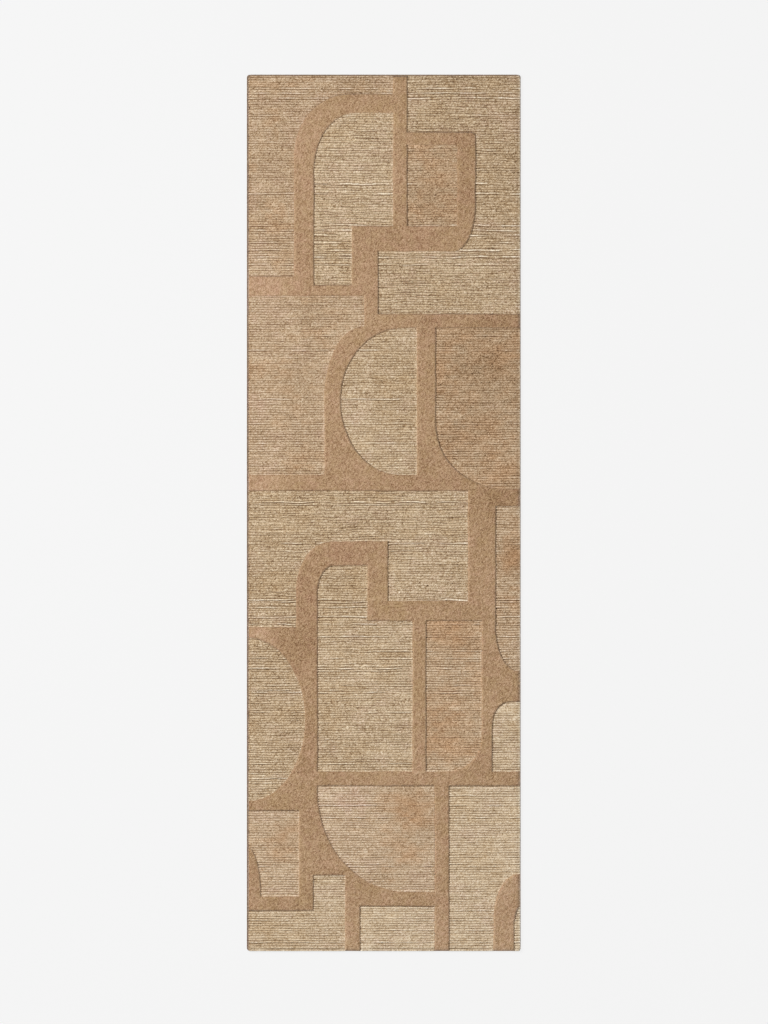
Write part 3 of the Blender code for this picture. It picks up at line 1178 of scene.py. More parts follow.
@dataclass(frozen=True)
class LoopField:
    """One recessed field of loop pile: rows of loops that run across the rug.

    Args:
        node: The solid that it stands for.
        dye: Its yarn.
        lay: How its rows lie.
        shade: How much lighter than the yarn the whole field is.
        drift: How far it drifts to ochre, or to rosy where negative.
        patches: Where its colour and wear differ.
        pitch: The distance from row to row.
        lines_per_row: Grid lines in one row.
        loop_step: The length of one loop along its row.
        furrow: How deep the furrow between two rows is.
        spare: How far a quiet row's back stays below the solid's top.
        headroom: How far a loop may stand above it.
        proud_rise: How far a proud row rises.
        loop_relief: How far a loop stands out from its neighbours.
        flattened: How light a trodden row is all over, between its painted furrow shade and its
            back.
        edge_roll: How wide the strip is where rows roll down or swell up at the field's edge.
        edge_drop: How far the rows roll down.
        edge_swell: How far the rows swell above the solid's top.
        tuck: How far the field spreads against the pile beside it.
        proud_painted_highlight: How much lighter a proud row is.
        loop_shade: How much single loops differ in shade.
        pair_shade: How much short stretches of three lines differ in shade.
        swell_painted_highlight: How much lighter a swollen edge is.
        ridge_painted_highlight: How much lighter the line just inside an upper edge is.
    """

    node: str
    dye: Dye
    lay: RowLay
    shade: float = 0.0
    drift: float = 0.0
    patches: tuple[Patch, ...] = ()
    pitch: float = 6.8 * MM
    lines_per_row: int = 6
    loop_step: float = 2.6 * MM
    furrow: float = 1.8 * MM
    spare: float = 0.6 * MM
    headroom: float = 0.6 * MM
    proud_rise: float = 0.5 * MM
    loop_relief: float = 0.25 * MM
    flattened: float = 0.6
    edge_roll: float = 3.0 * MM
    edge_drop: float = 0.3 * MM
    edge_swell: float = 0.5 * MM
    tuck: float = 0.28 * MM
    proud_painted_highlight: float = 0.24
    loop_shade: float = 0.2
    pair_shade: float = 0.14
    swell_painted_highlight: float = 0.28
    ridge_painted_highlight: float = 0.1

    def build(self, node: bpy.types.Object) -> bpy.types.Object:
        """Works out the rows inside the field's outline.

        The grid's lines lie at fixed shares of each row, and stray with it: Y is the row's own Y
        plus a smooth noise. Row numbers count from the rug's middle, so rows line up from one
        field to the next.

        Args:
            node: The field's solid.

        Returns:
            The piece.
        """
        habit = self.lay.value
        low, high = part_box(self.node)
        step = self.pitch / self.lines_per_row
        lines = steps_across(low.y, high.y, step, 4)
        columns = steps_across(low.x, high.x, self.loop_step, 4)
        x, level = np.meshgrid(columns * self.loop_step, lines * step)
        y = level + habit.roam * smooth_noise(x, level, habit.roam_cell, Seed.ROW_ROAM)
        y += habit.wiggle * smooth_noise(x, level, (12 * MM, 9 * MM), Seed.ROW_WIGGLE)
        line = np.broadcast_to(lines[:, None], x.shape).ravel()
        column = np.broadcast_to(columns[None, :], x.shape).ravel()

        def relief(spot: Spot) -> tuple[np.ndarray, dict[str, np.ndarray]]:
            """The rows' heights and values at the kept vertices."""
            return self.relief(spot, line[spot.index], column[spot.index], high.z)

        name = self.node.replace("loop_", "loop_pile_")
        return carved_pile(name, Outline.of_node(node), (x, y), low.z, relief, self.tuck)

    def relief(
        self, spot: Spot, line: np.ndarray, column: np.ndarray, top: float
    ) -> tuple[np.ndarray, dict[str, np.ndarray]]:
        """Height from the row's round back, its furrow, its loops and the rolled edge.

        A row's back is a sine over its lines to the power 1.2. Each row has its own noise along X,
        in long and in short stretches, for how proud it stands, and another for how deep its
        furrow is. A few bold rows add to both. Each loop adds a random height and shade of its own.

        Args:
            spot: The kept vertices.
            line: The grid line of each one.
            column: The grid column of each one.
            top: The height of the solid's top.

        Returns:
            The heights, and the values crest, shade and drift.
        """
        habit = self.lay.value
        x, y = spot.place.T
        row = line // self.lines_per_row
        share = (line % self.lines_per_row) / self.lines_per_row
        back = np.sin(math.pi * share) ** 1.2
        wear, shade, drift = self.ageing(x, y)

        proud = 0.55 * smooth_noise(x, row, (60 * MM, 1), Seed.PROUD_LONG)
        proud += 0.4 * smooth_noise(x, row, (20 * MM, 1), Seed.PROUD_SHORT)
        deep = 0.65 * smooth_noise(x, row, (50 * MM, 1), Seed.DEEP_LONG)
        deep += 0.45 * smooth_noise(x, row, (14 * MM, 1), Seed.DEEP_SHORT)
        chosen = np.clip(2 * speckle(row, 0 * row, Seed.BOLD_ROW) - 1.5, 0, 1.3)
        stretch = np.clip(0.35 + smooth_noise(x, row, (34 * MM, 1), Seed.BOLD_STRETCH), 0, 1)
        bold = habit.bold * chosen * stretch
        proud, deep = habit.uneven * proud + 1.6 * bold, habit.uneven * deep + bold

        tight = np.clip(0.8 + 0.8 * deep, 0.05, 1.9)
        flat = 0.85 * wear
        loop = habit.mottle * speckle(line // 2, column, Seed.LOOP_HEIGHT)
        pair = habit.mottle * speckle(line // 3, column, Seed.LOOP_SHADE)
        near = np.clip(1 - spot.distance / self.edge_roll, 0, 1)
        lee = spot.lee()
        roll = near**2 * np.clip(0.3 - lee, 0, 1) * spot.depth()
        swell = near * np.clip(1.4 * lee, 0, 1)
        # Painted highlight: a light line about 4 mm inside each upper edge of the field.
        ridge = np.clip(1 - np.abs(spot.distance - 4 * MM) / (3 * MM), 0, 1) * spot.side(0, 1)

        height = top - self.spare - self.furrow * tight * (1 - back) * (1 - flat)
        height += self.proud_rise * proud * back + self.loop_relief * loop
        height += 0.6 * swell * (self.edge_swell + top - height) - self.edge_drop * roll
        height = np.minimum(height, top + self.headroom)
        # Painted shade: the crest value darkens the furrows, and the rolled edges a little more;
        # trodden rows get an even share.
        crest = np.clip(1 - (1 - back) * tight, 0, 1) * (1 - 0.2 * roll)
        crest = crest + (self.flattened - crest) * flat
        # Painted highlight: swollen edges on the lee side get a lighter crest, and more shade
        # below.
        crest += 0.6 * swell * (1 - crest)
        # Painted highlight: proud rows are painted lighter along their backs; single loops differ
        # in shade at random.
        shade += self.proud_painted_highlight * proud * back * (1 - flat) + self.loop_shade * loop
        shade += self.swell_painted_highlight * swell + self.ridge_painted_highlight * ridge + self.pair_shade * pair
        return height, {"crest": crest, "shade": shade, "drift": drift}

    def ageing(self, x: np.ndarray, y: np.ndarray) -> tuple[np.ndarray, np.ndarray, np.ndarray]:
        """Ages the field: cloudy noise, wide and small, and on top of it each patch's bell curve.

        Args:
            x: Places across the rug.
            y: Places along the rug.

        Returns:
            The wear from 0 to 1, the shade, and the drift from -1 to 1.
        """
        wear = 0.5 * smooth_noise(x, y, (60 * MM, 45 * MM), Seed.FIELD_WEAR) - 0.2
        wear = np.clip(wear, 0, 1)
        shade = self.shade + 0.04 * smooth_noise(x, y, (90 * MM, 60 * MM), Seed.FIELD_SHADE_WIDE)
        shade += 0.05 * smooth_noise(x, y, (26 * MM, 18 * MM), Seed.FIELD_SHADE_SMALL)
        drift = self.drift + 0.3 * smooth_noise(x, y, (75 * MM, 50 * MM), Seed.FIELD_DRIFT_WIDE)
        drift += 0.3 * smooth_noise(x, y, (20 * MM, 14 * MM), Seed.FIELD_DRIFT_SMALL)
        for patch in self.patches:
            weight = patch.weight(x, y)
            wear += patch.wear * weight
            shade += patch.shade * weight
            drift += patch.ochre * weight
        return np.clip(wear, 0, 1), shade, np.clip(drift, -1, 1)


@dataclass(frozen=True)
class CutPile:
    """A raised band of cut pile, sheared level and carved down along its edges.

    Args:
        node: The solid that it stands for.
        shade: How much lighter than the yarn the whole band is.
        patches: Where its colour differs.
        tuft: The distance from tuft to tuft.
        scatter: How far a tuft stands from its even place, as a share of that distance.
        spare: How far the shear stays below the solid's top.
        dip: How far the shear rises and falls.
        ragged: How far a tuft's tip stands out.
        shoulder: How wide the carved strip at the edge is.
        carve: How far the pile is carved down there.
        tip_shade: How much the tips differ in shade.
        left_painted_highlight: How much lighter the shoulder that faces left is.
        right_painted_highlight: How much lighter the shoulder that faces right is.
    """

    node: str
    shade: float = 0.0
    patches: tuple[Patch, ...] = ()
    tuft: float = 2.42 * MM
    scatter: float = 0.13
    spare: float = 0.6 * MM
    dip: float = 0.25 * MM
    ragged: float = 0.42 * MM
    shoulder: float = 3.4 * MM
    carve: float = 3.0 * MM
    tip_shade: float = 0.24
    left_painted_highlight: float = 0.16
    right_painted_highlight: float = 0.4

    def build(self, node: bpy.types.Object) -> bpy.types.Object:
        """Works out the sheared surface inside the band's outline.

        Args:
            node: The band's solid.

        Returns:
            The piece.
        """
        low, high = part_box(self.node)
        columns = steps_across(low.x, high.x, self.tuft, 3)
        lines = steps_across(low.y, high.y, self.tuft, 3)
        column, line = np.meshgrid(columns, lines)
        x = self.tuft * (column + self.scatter * speckle(line, column, Seed.TUFT_X))
        y = self.tuft * (line + self.scatter * speckle(line, column, Seed.TUFT_Y))
        tips = speckle(line, column, Seed.TUFT_TIP).ravel()

        def relief(spot: Spot) -> tuple[np.ndarray, dict[str, np.ndarray]]:
            """The sheared surface's heights and values at the kept vertices."""
            return self.relief(spot, tips[spot.index], high.z)

        return carved_pile(self.node + "_tufts", Outline.of_node(node), (x, y), low.z, relief, 0.0)

    def relief(
        self, spot: Spot, tip: np.ndarray, top: float
    ) -> tuple[np.ndarray, dict[str, np.ndarray]]:
        """Height from the level shear, the ragged tips and a round shoulder at the edge.

        The shoulder is a quarter circle, 1 - sqrt(1 - near^2), with near rising to 1 at the edge.

        Args:
            spot: The kept vertices.
            tip: How far each tuft stands out, as a random value round 0.
            top: The height of the shear.

        Returns:
            The heights, and the values crest, shade and drift.
        """
        x, y = spot.place.T
        near = np.clip(1 - spot.distance / self.shoulder, 0, 1)
        lee, depth = spot.lee(), spot.depth()
        fall = (1 - np.sqrt(1 - near**2)) * np.clip(0.75 + 0.35 * lee, 0, 1)
        uneven = 1 + 0.3 * smooth_noise(x, y, (14 * MM, 14 * MM), Seed.SHOULDER)
        height = top - self.spare + self.dip * smooth_noise(x, y, (30 * MM, 30 * MM), Seed.SHEAR)
        height += self.ragged * tip * (1 - 0.5 * near) - self.carve * fall * uneven

        # Painted shade: the carved shoulders on the lee side, and a broken dark line along the
        # band's upper edges, lower the crest value and so take the darker foot colour.
        groove_shade_strength = 0.6 + 0.5 * smooth_noise(x, y, (18 * MM, 18 * MM), Seed.GROOVE_SHADE)
        carved = 0.12 * fall * depth * np.clip(lee, 0, 1) * uneven
        crest = np.clip(1 - carved - 0.6 * near * spot.side(0, 1) * groove_shade_strength, 0, 1)
        shade = self.shade + 0.03 * smooth_noise(x, y, (70 * MM, 90 * MM), Seed.BAND_SHADE_WIDE)
        shade += 0.06 * smooth_noise(x, y, (20 * MM, 12 * MM), Seed.BAND_SHADE_SMALL)
        shade += self.tip_shade * tip
        # Painted highlight: the shoulders that face left and right are painted lighter, which lifts
        # the lamp's shade on the right-facing ones.
        shade += near * (self.left_painted_highlight * spot.side(-1, 0) + self.right_painted_highlight * spot.side(1, 0))
        drift = 0.3 * smooth_noise(x, y, (34 * MM, 40 * MM), Seed.BAND_DRIFT_WIDE)
        drift += 0.35 * smooth_noise(x, y, (11 * MM, 9 * MM), Seed.BAND_DRIFT_SMALL)
        for patch in self.patches:
            weight = patch.weight(x, y)
            shade += patch.shade * weight
            drift += patch.ochre * weight
        return height, {"crest": crest, "shade": shade, "drift": np.clip(drift, -1, 1)}


# ------------------------------------------------------------------ cloths and edges


@dataclass(frozen=True)
class BackingCloth:
    """One of the bonded cloths under the pile: a thin closed sheet with a slight cockle.

    Args:
        node: The solid that it stands for.
        dye: Its finish.
        rests_on: What it lies on; not used.
        carries_pile: Whether the pile and the edge yarn are fixed to it; not used.
        cell: The grid's spacing.
        cockle: How far the sheet's upper face rises and falls.
        corner: The radius of its corners.
    """

    node: str
    dye: Dye
    rests_on: str
    carries_pile: bool = False
    cell: float = 12 * MM
    cockle: float = 0.08 * MM
    corner: float = 3.5 * MM

    def build(self) -> bpy.types.Object:
        """Works out both faces of the sheet on one grid, and joins them round the rim.

        The upper face is the grid at the sheet's top and the lower face the same grid turned over
        at its foot. The upper one dips by a smooth noise, and the lower one stays flat.

        Returns:
            The piece.
        """
        low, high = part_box(self.node)
        columns = max(2, round((high.x - low.x) / self.cell)) + 1
        rows = max(2, round((high.y - low.y) / self.cell)) + 1
        x, y = np.meshgrid(np.linspace(low.x, high.x, columns), np.linspace(low.y, high.y, rows))
        x, y = rounded_corners(x, y, self.corner)
        dip = self.cockle * (1 + smooth_noise(x, y, (60 * MM, 60 * MM), Seed.COCKLE)) / 2
        upper = np.stack([x, y, high.z - dip], axis=-1).reshape(-1, 3)
        lower = np.stack([x, y, np.full_like(x, low.z)], axis=-1).reshape(-1, 3)
        quads = grid_quads(rows, columns)
        count = rows * columns
        rim = rim_of(quads, count)
        walls = np.stack([rim[:, 1], rim[:, 0], rim[:, 0] + count, rim[:, 1] + count], axis=1)
        faces = np.vstack([quads, quads[:, ::-1] + count, walls])
        piece = Surface(np.vstack([upper, lower]), faces).as_object(self.node + "_cloth")
        size = np.array([high.x - low.x, high.y - low.y])
        flat = (upper[:, :2] - [low.x, low.y]) / size
        halves = np.vstack([flat * [0.49, 1.0], flat * [0.49, 1.0] + [0.51, 0.0]])
        corner = np.empty(len(piece.data.loops), np.int32)
        piece.data.loops.foreach_get("vertex_index", corner)
        layer = piece.data.uv_layers.new(name=BAKE_MAP)
        layer.uv.foreach_set("vector", halves[corner].astype(np.float32).ravel())
        return piece


def rounded_corners(
    x: np.ndarray, y: np.ndarray, radius: float
) -> tuple[np.ndarray, np.ndarray]:
    """Pulls the four corner vertices of a rectangular grid inwards onto an arc.

    Args:
        x: The grid's X.
        y: The grid's Y.
        radius: The arc's radius.

    Returns:
        The grid's new X and Y.
    """
    pull = radius * (1 - math.sqrt(0.5))
    x, y = x.copy(), y.copy()
    for row, up in ((0, 1), (-1, -1)):
        for column, right in ((0, 1), (-1, -1)):
            x[row, column] += right * pull
            y[row, column] += up * pull
    return x, y


@dataclass(frozen=True)
class OvercastEdge:
    """Yarn wrapped round the cloths' edge: a rounded strip whose skin swells with each wrap.

    Args:
        node: The solid that it stands for.
        shade: How much lighter than the yarn it is.
        wrap: The length of edge that one wrap of yarn covers.
        cuts: Grid lines in one wrap.
        around: Grid lines round the strip.
        bend_cuts: Grid lines in the quarter turn at a corner.
        swell: How far a wrap stands out from the hollow beside it.
        ragged: How far grid lines differ in size.
        speckled: How much grid lines differ in shade.
        helix: How far the wraps lean, in radians of one wrap.
        taper: What share of the profile is left at the strip's ends.
        width: How wide the strip is.
    """

    node: str
    shade: float = 0.0
    wrap: float = 3.4 * MM
    cuts: int = 4
    around: int = 10
    bend_cuts: int = 14
    swell: float = 0.45 * MM
    ragged: float = 0.1 * MM
    speckled: float = 0.45
    helix: float = 0.8
    taper: float = 0.55
    width: float = 4.5 * MM

    def route(self) -> tuple[np.ndarray, np.ndarray]:
        """The strip's middle line and the way out from the rug along it.

        A side's strip starts with a quarter turn at a corner, runs down the side and ends with
        another quarter turn. An end's strip is straight.

        Returns:
            Points on the line, and unit vectors towards the outside.
        """
        low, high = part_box(self.node)
        if high.x - low.x > high.y - low.y:
            side = 1.0 if high.y > 0 else -1.0
            x = np.linspace(low.x, high.x, max(2, int((high.x - low.x) / self.wrap * self.cuts)))
            y = np.full_like(x, (low.y + high.y) / 2)
            return np.stack([x, y], axis=1), np.stack([0 * x, 0 * x + side], axis=1)
        side = 1.0 if high.x > 0 else -1.0
        bend = (high.x - low.x) - self.width / 2
        centre_x = side * (max(abs(low.x), abs(high.x)) - (high.x - low.x))
        turn = np.linspace(0, math.pi / 2, self.bend_cuts)
        straight = high.y - low.y - 2 * (bend + self.width / 2)
        run = np.linspace(0, 1, int(straight / self.wrap * self.cuts))[1:-1]
        top_y, foot_y = high.y - bend - self.width / 2, low.y + bend + self.width / 2
        out_x = np.concatenate([np.sin(turn), np.ones_like(run), np.cos(turn)])
        out_y = np.concatenate([np.cos(turn), np.zeros_like(run), -np.sin(turn)])
        sides_y = top_y + (foot_y - top_y) * run
        mid_y = np.concatenate([np.full_like(turn, top_y), sides_y, np.full_like(turn, foot_y)])
        line = np.stack([centre_x + side * bend * out_x, mid_y + bend * out_y], axis=1)
        return line, np.stack([side * out_x, out_y], axis=1)

    def build(self) -> bpy.types.Object:
        """Carries the strip's rounded profile along its route.

        The profile is a superellipse, |u|^3 + |v|^3 = 1, as wide as the strip and as high as the
        solid. It shrinks between the wraps, whose ridge is |cos|^0.7 of the way along them, and
        the ridges lean like a helix.

        Returns:
            The piece.
        """
        line, out = self.route()
        low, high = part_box(self.node)
        steps = len(line)
        angle = np.linspace(0, 2 * math.pi, self.around, endpoint=False)[None, :]
        length = np.concatenate([[0], np.cumsum(np.linalg.norm(np.diff(line, axis=0), axis=1))])
        turn = 2 * math.pi * length[:, None] / self.wrap + self.helix * np.sin(angle)
        ridge = np.abs(np.cos(turn / 2)) ** 0.7
        scatter = np.random.default_rng(Seed.WRAP).uniform(-1, 1, (steps, 1))
        shrink = self.swell * (1 - ridge) + self.ragged * (1 + scatter)
        ends = np.ones((steps, 1))
        ends[[0, -1]] = self.taper
        u = np.sign(np.cos(angle)) * np.abs(np.cos(angle)) ** (2 / 3)
        v = np.sign(np.sin(angle)) * np.abs(np.sin(angle)) ** (2 / 3)
        half_width, half_height = self.width / 2, (high.z - low.z) / 2
        sideways = u * (half_width - shrink) * ends
        upward = (low.z + high.z) / 2 + v * (half_height - shrink * (v > -0.2)) * ends
        x = line[:, :1] + out[:, :1] * sideways
        y = line[:, 1:] + out[:, 1:] * sideways
        skin = np.stack([x, y, upward], axis=-1).reshape(-1, 3)
        index = np.arange(steps * self.around).reshape(steps, self.around)
        following = np.roll(index, -1, axis=1)
        quads = np.stack(
            [index[:-1], following[:-1], following[1:], index[1:]], axis=-1
        ).reshape(-1, 4)
        caps = self.end_caps(index)
        drift = smooth_noise(length[:, None], 0 * angle, (40 * MM, 1.0), Seed.WRAP_DRIFT)
        # Painted shade: the hollows between wraps take the darker foot colour through the crest
        # value.
        carried = {"crest": ridge, "shade": self.shade + self.speckled * scatter, "drift": drift}
        values = {key: np.broadcast_to(each, index.shape).ravel() for key, each in carried.items()}
        piece = Surface(skin, np.vstack([quads, caps]), values).as_object(self.node + "_yarn")
        face_outwards(piece.data)
        return piece

    @staticmethod
    def end_caps(index: np.ndarray) -> np.ndarray:
        """Closes the first and the last ring of the strip with rows of four cornered faces.

        Args:
            index: The vertices, ring by ring.

        Returns:
            The four vertices of each face.
        """
        count = index.shape[1]
        near = np.arange(count // 2 - 1)
        far = count - 1 - near
        first = index[0]
        last = index[-1]
        start = np.stack([first[near], first[far], first[far - 1], first[near + 1]], axis=1)
        end = np.stack([last[near], last[near + 1], last[far - 1], last[far]], axis=1)
        return np.vstack([start, end])


def face_outwards(mesh: bpy.types.Mesh) -> None:
    """Turns every face of a closed mesh to look outwards.

    Args:
        mesh: The mesh.
    """
    work = bmesh.new()
    work.from_mesh(mesh)
    bmesh.ops.recalc_face_normals(work, faces=work.faces)
    work.to_mesh(mesh)
    work.free()


# ------------------------------------------------------------------ studio


@dataclass(frozen=True)
class Studio:
    """A plain pale floor, soft light from the upper left, and a camera straight above the rug.

    Args:
        floor_size: The floor's length and width.
        floor_drop: How far the floor lies below the rug.
        floor_colour: The floor's colour.
        floor_glow: How bright the floor is by itself.
        lamp_place: Where the lamp hangs.
        lamp_power: The lamp's power, in watts.
        lamp_radius: The lamp's radius, which softens its shadows.
        sky_strength: How bright the sky is.
        lens: The camera's focal length, in millimetres.
        sensor: The longer side of its sensor, in millimetres.
        view_height: The height of the picture, measured at the top of the pile.
        aim: The X and Y that the camera looks down on.
    """

    floor_size: float = 30.0
    floor_drop: float = 0.2 * MM
    floor_colour: tuple[float, float, float, float] = (0.08, 0.08, 0.08, 1.0)
    floor_glow: float = 0.83
    lamp_place: tuple[float, float, float] = (-2.0, 0.7, 2.5)
    lamp_power: float = 33.2
    lamp_radius: float = 0.9
    sky_strength: float = 0.37
    lens: float = 100.0
    sensor: float = 36.0
    view_height: float = 2.845
    aim: tuple[float, float] = (0.0007, 0.0021)

    def build(self) -> None:
        """Makes the floor, the lights and the camera."""
        scene = bpy.context.scene
        scene.view_settings.view_transform = "Standard"
        self.build_floor()
        self.build_light()
        camera = bpy.data.cameras.new("camera_above")
        camera.lens = self.lens
        camera.sensor_width = self.sensor
        camera.clip_end = 100.0
        seen = bpy.data.objects.new("camera_above", camera)
        away = self.view_height / 2 / (self.sensor / 2 / self.lens)
        seen.location = (*self.aim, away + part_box("cut_pile_network")[1].z)
        scene.collection.objects.link(seen)
        scene.camera = seen

    def build_floor(self) -> None:
        """A level sheet just under the rug."""
        reach = self.floor_size / 2
        corners = np.array([[-1, -1], [1, -1], [1, 1], [-1, 1]])
        places = np.column_stack([reach * corners, np.full(4, -self.floor_drop)])
        floor = Surface(places, np.array([[0, 1, 2, 3]])).as_object("studio_floor")
        paint = bpy.data.materials.new("studio_floor")
        paint.use_nodes = True
        shader = paint.node_tree.nodes["Principled BSDF"]
        shader.inputs["Base Color"].default_value = self.floor_colour
        shader.inputs["Roughness"].default_value = 0.9
        shader.inputs["Specular IOR Level"].default_value = 0.1
        shader.inputs["Emission Color"].default_value = (1.0, 1.0, 1.0, 1.0)
        shader.inputs["Emission Strength"].default_value = self.floor_glow
        floor.data.materials.append(paint)

    def build_light(self) -> None:
        """A soft lamp at the rug's left, as bright far away as near, and an even pale sky."""
        lamp = bpy.data.lights.new("soft_key_lamp", "POINT")
        lamp.energy = self.lamp_power
        lamp.shadow_soft_size = self.lamp_radius
        lamp.use_nodes = True
        sheet = NodeSheet(lamp.node_tree)
        steady = sheet.add("ShaderNodeLightFalloff", Strength=1.0)
        sheet.feed(lamp.node_tree.nodes["Emission"].inputs["Strength"], steady.outputs["Constant"])
        key = bpy.data.objects.new("soft_key_lamp", lamp)
        key.location = self.lamp_place
        bpy.context.scene.collection.objects.link(key)
        world = bpy.data.worlds.new("pale_sky")
        world.use_nodes = True
        sky = world.node_tree.nodes["Background"]
        sky.inputs["Color"].default_value = (1.0, 1.0, 1.0, 1.0)
        sky.inputs["Strength"].default_value = self.sky_strength
        bpy.context.scene.world = world


# ------------------------------------------------------------------ the rug


LOOP_FIELDS = (
    LoopField(
        "loop_arch_outer", Dye.TAWNY_LOOP, RowLay.EVEN,
        shade=-0.01,
        patches=(
            Patch(-0.35, 0.68, 0.06, shade=0.1, ochre=-0.2),
            Patch(-0.33, 1.0, 0.1, shade=-0.05, wear=0.3),
            Patch(-0.1, 1.2, 0.1, shade=-0.04),
        ),
    ),
    LoopField(
        "loop_arch_inner", Dye.BEIGE_LOOP, RowLay.LOOSE,
        patches=(
            Patch(-0.05, 0.95, 0.08, shade=0.05),
            Patch(-0.15, 0.7, 0.08, shade=-0.04, ochre=0.2),
        ),
    ),
    LoopField(
        "loop_hook", Dye.BEIGE_LOOP, RowLay.LOOSE,
        shade=-0.07,
        patches=(
            Patch(0.22, 1.18, 0.12, shade=-0.07),
            Patch(0.35, 0.95, 0.1, shade=-0.07),
            Patch(0.2, 0.66, 0.1, shade=0.05),
        ),
    ),
    LoopField(
        "loop_tile", Dye.TAWNY_LOOP, RowLay.UNEVEN,
        shade=-0.06, drift=0.25,
        patches=(
            Patch(0.14, 0.88, 0.06, shade=-0.08, ochre=0.1, wear=0.7),
            Patch(0.18, 0.98, 0.05, ochre=-0.1, wear=0.4),
        ),
    ),
    LoopField(
        "loop_shoulder", Dye.TAWNY_LOOP, RowLay.EVEN,
        shade=0.02,
        patches=(
            Patch(-0.23, 0.15, 0.04, shade=-0.12, ochre=0.2),
            Patch(-0.21, 0.55, 0.05, shade=-0.09, ochre=0.1, wear=0.5),
            Patch(-0.23, 0.36, 0.07, shade=-0.05, ochre=0.1, wear=0.6),
            Patch(-0.35, 0.3, 0.07, shade=0.07, ochre=-0.3),
        ),
    ),
    LoopField(
        "loop_half_disc", Dye.BEIGE_LOOP, RowLay.UNEVEN,
        patches=(
            Patch(0.07, 0.36, 0.05, shade=-0.1, ochre=0.3),
            Patch(-0.05, 0.25, 0.07, shade=0.06),
            Patch(-0.02, 0.48, 0.06, shade=-0.03),
        ),
    ),
    LoopField(
        "loop_bay", Dye.TAWNY_LOOP, RowLay.EVEN,
        shade=-0.12, drift=0.3,
        patches=(
            Patch(0.29, 0.4, 0.1, shade=-0.12, wear=0.5),
            Patch(0.2, 0.3, 0.07, shade=0.07, ochre=-0.2),
            Patch(0.33, 0.15, 0.08, shade=0.04),
        ),
    ),
    LoopField(
        "loop_bridge", Dye.BEIGE_LOOP, RowLay.LOOSE,
        shade=-0.02, drift=0.05,
        patches=(
            Patch(-0.22, 0.04, 0.1, shade=-0.06, ochre=0.1),
            Patch(0.0, 0.02, 0.08, shade=-0.04, ochre=0.1),
            Patch(0.06, -0.13, 0.07, shade=0.07),
            Patch(-0.32, -0.2, 0.08, shade=-0.03, ochre=0.2),
        ),
    ),
    LoopField(
        "loop_stair", Dye.BEIGE_LOOP, RowLay.UNEVEN,
        shade=0.02, drift=0.05,
        patches=(
            Patch(-0.1, -0.2, 0.08, shade=-0.08, ochre=0.2),
            Patch(-0.05, -0.45, 0.07, shade=0.06),
            Patch(0.05, -0.62, 0.06, shade=0.05, ochre=-0.2),
            Patch(-0.12, -0.68, 0.06, shade=-0.05, ochre=0.1),
        ),
    ),
    LoopField(
        "loop_upright", Dye.TAWNY_LOOP, RowLay.EVEN,
        shade=0.04, drift=0.15,
        patches=(
            Patch(0.19, -0.33, 0.06, shade=-0.1, ochre=0.8, wear=0.3),
            Patch(0.15, -0.6, 0.07, shade=-0.08, ochre=0.6, wear=0.5),
            Patch(0.2, -0.46, 0.05, shade=0.05, ochre=-0.4),
            Patch(0.2, -0.7, 0.05, shade=-0.02, ochre=0.3),
        ),
    ),
    LoopField(
        "loop_sliver", Dye.TAWNY_LOOP, RowLay.UNEVEN,
        shade=0.02, drift=0.1,
        patches=(
            Patch(0.36, -0.13, 0.05, shade=-0.17, ochre=0.8, wear=0.6),
            Patch(0.36, -0.35, 0.07, shade=0.05, ochre=-0.1),
        ),
    ),
    LoopField(
        "loop_bowl", Dye.BEIGE_LOOP, RowLay.UNEVEN,
        shade=-0.02, drift=0.1,
        patches=(
            Patch(-0.36, -0.73, 0.06, shade=0.12),
            Patch(-0.3, -0.4, 0.08, shade=-0.06, ochre=0.2),
            Patch(-0.3, -0.6, 0.06, shade=0.02),
        ),
    ),
    LoopField(
        "loop_right_tab", Dye.BEIGE_LOOP, RowLay.EVEN,
        shade=0.2, drift=0.05,
        patches=(
            Patch(0.36, -0.7, 0.05, shade=-0.08),
        ),
    ),
    LoopField(
        "loop_sail", Dye.TAWNY_LOOP, RowLay.EVEN,
        shade=0.15,
        patches=(
            Patch(0.08, -0.81, 0.06, shade=-0.13, ochre=0.9, wear=0.9),
            Patch(0.04, -0.95, 0.07, shade=-0.04, ochre=0.4, wear=0.7),
            Patch(-0.1, -0.8, 0.08, shade=0.03, ochre=-0.3),
        ),
    ),
    LoopField(
        "loop_left_tab", Dye.TAWNY_LOOP, RowLay.EVEN,
        shade=0.16,
        patches=(
            Patch(-0.265, -0.9, 0.06, shade=-0.06, ochre=0.6, wear=0.8),
            Patch(-0.34, -0.82, 0.05, shade=0.03, ochre=-0.3),
        ),
    ),
    LoopField(
        "loop_lower_right", Dye.BEIGE_LOOP, RowLay.EVEN,
        shade=0.23,
        patches=(
            Patch(0.25, -0.85, 0.1, shade=-0.03, ochre=0.1),
            Patch(0.25, -1.1, 0.15, wear=0.15),
        ),
    ),
    LoopField(
        "loop_boot", Dye.BEIGE_LOOP, RowLay.EVEN,
        shade=0.11,
        patches=(
            Patch(-0.35, -1.18, 0.06, shade=-0.04, ochre=0.2),
            Patch(-0.15, -1.1, 0.06, wear=0.15),
        ),
    ),
    LoopField(
        "loop_sill", Dye.BEIGE_LOOP, RowLay.EVEN,
        shade=0.27,
        patches=(
            Patch(0.03, -1.16, 0.2, wear=0.25),
        ),
    ),
    LoopField(
        "loop_corner_chip", Dye.BEIGE_LOOP, RowLay.EVEN,
        shade=0.38,
    ),
)

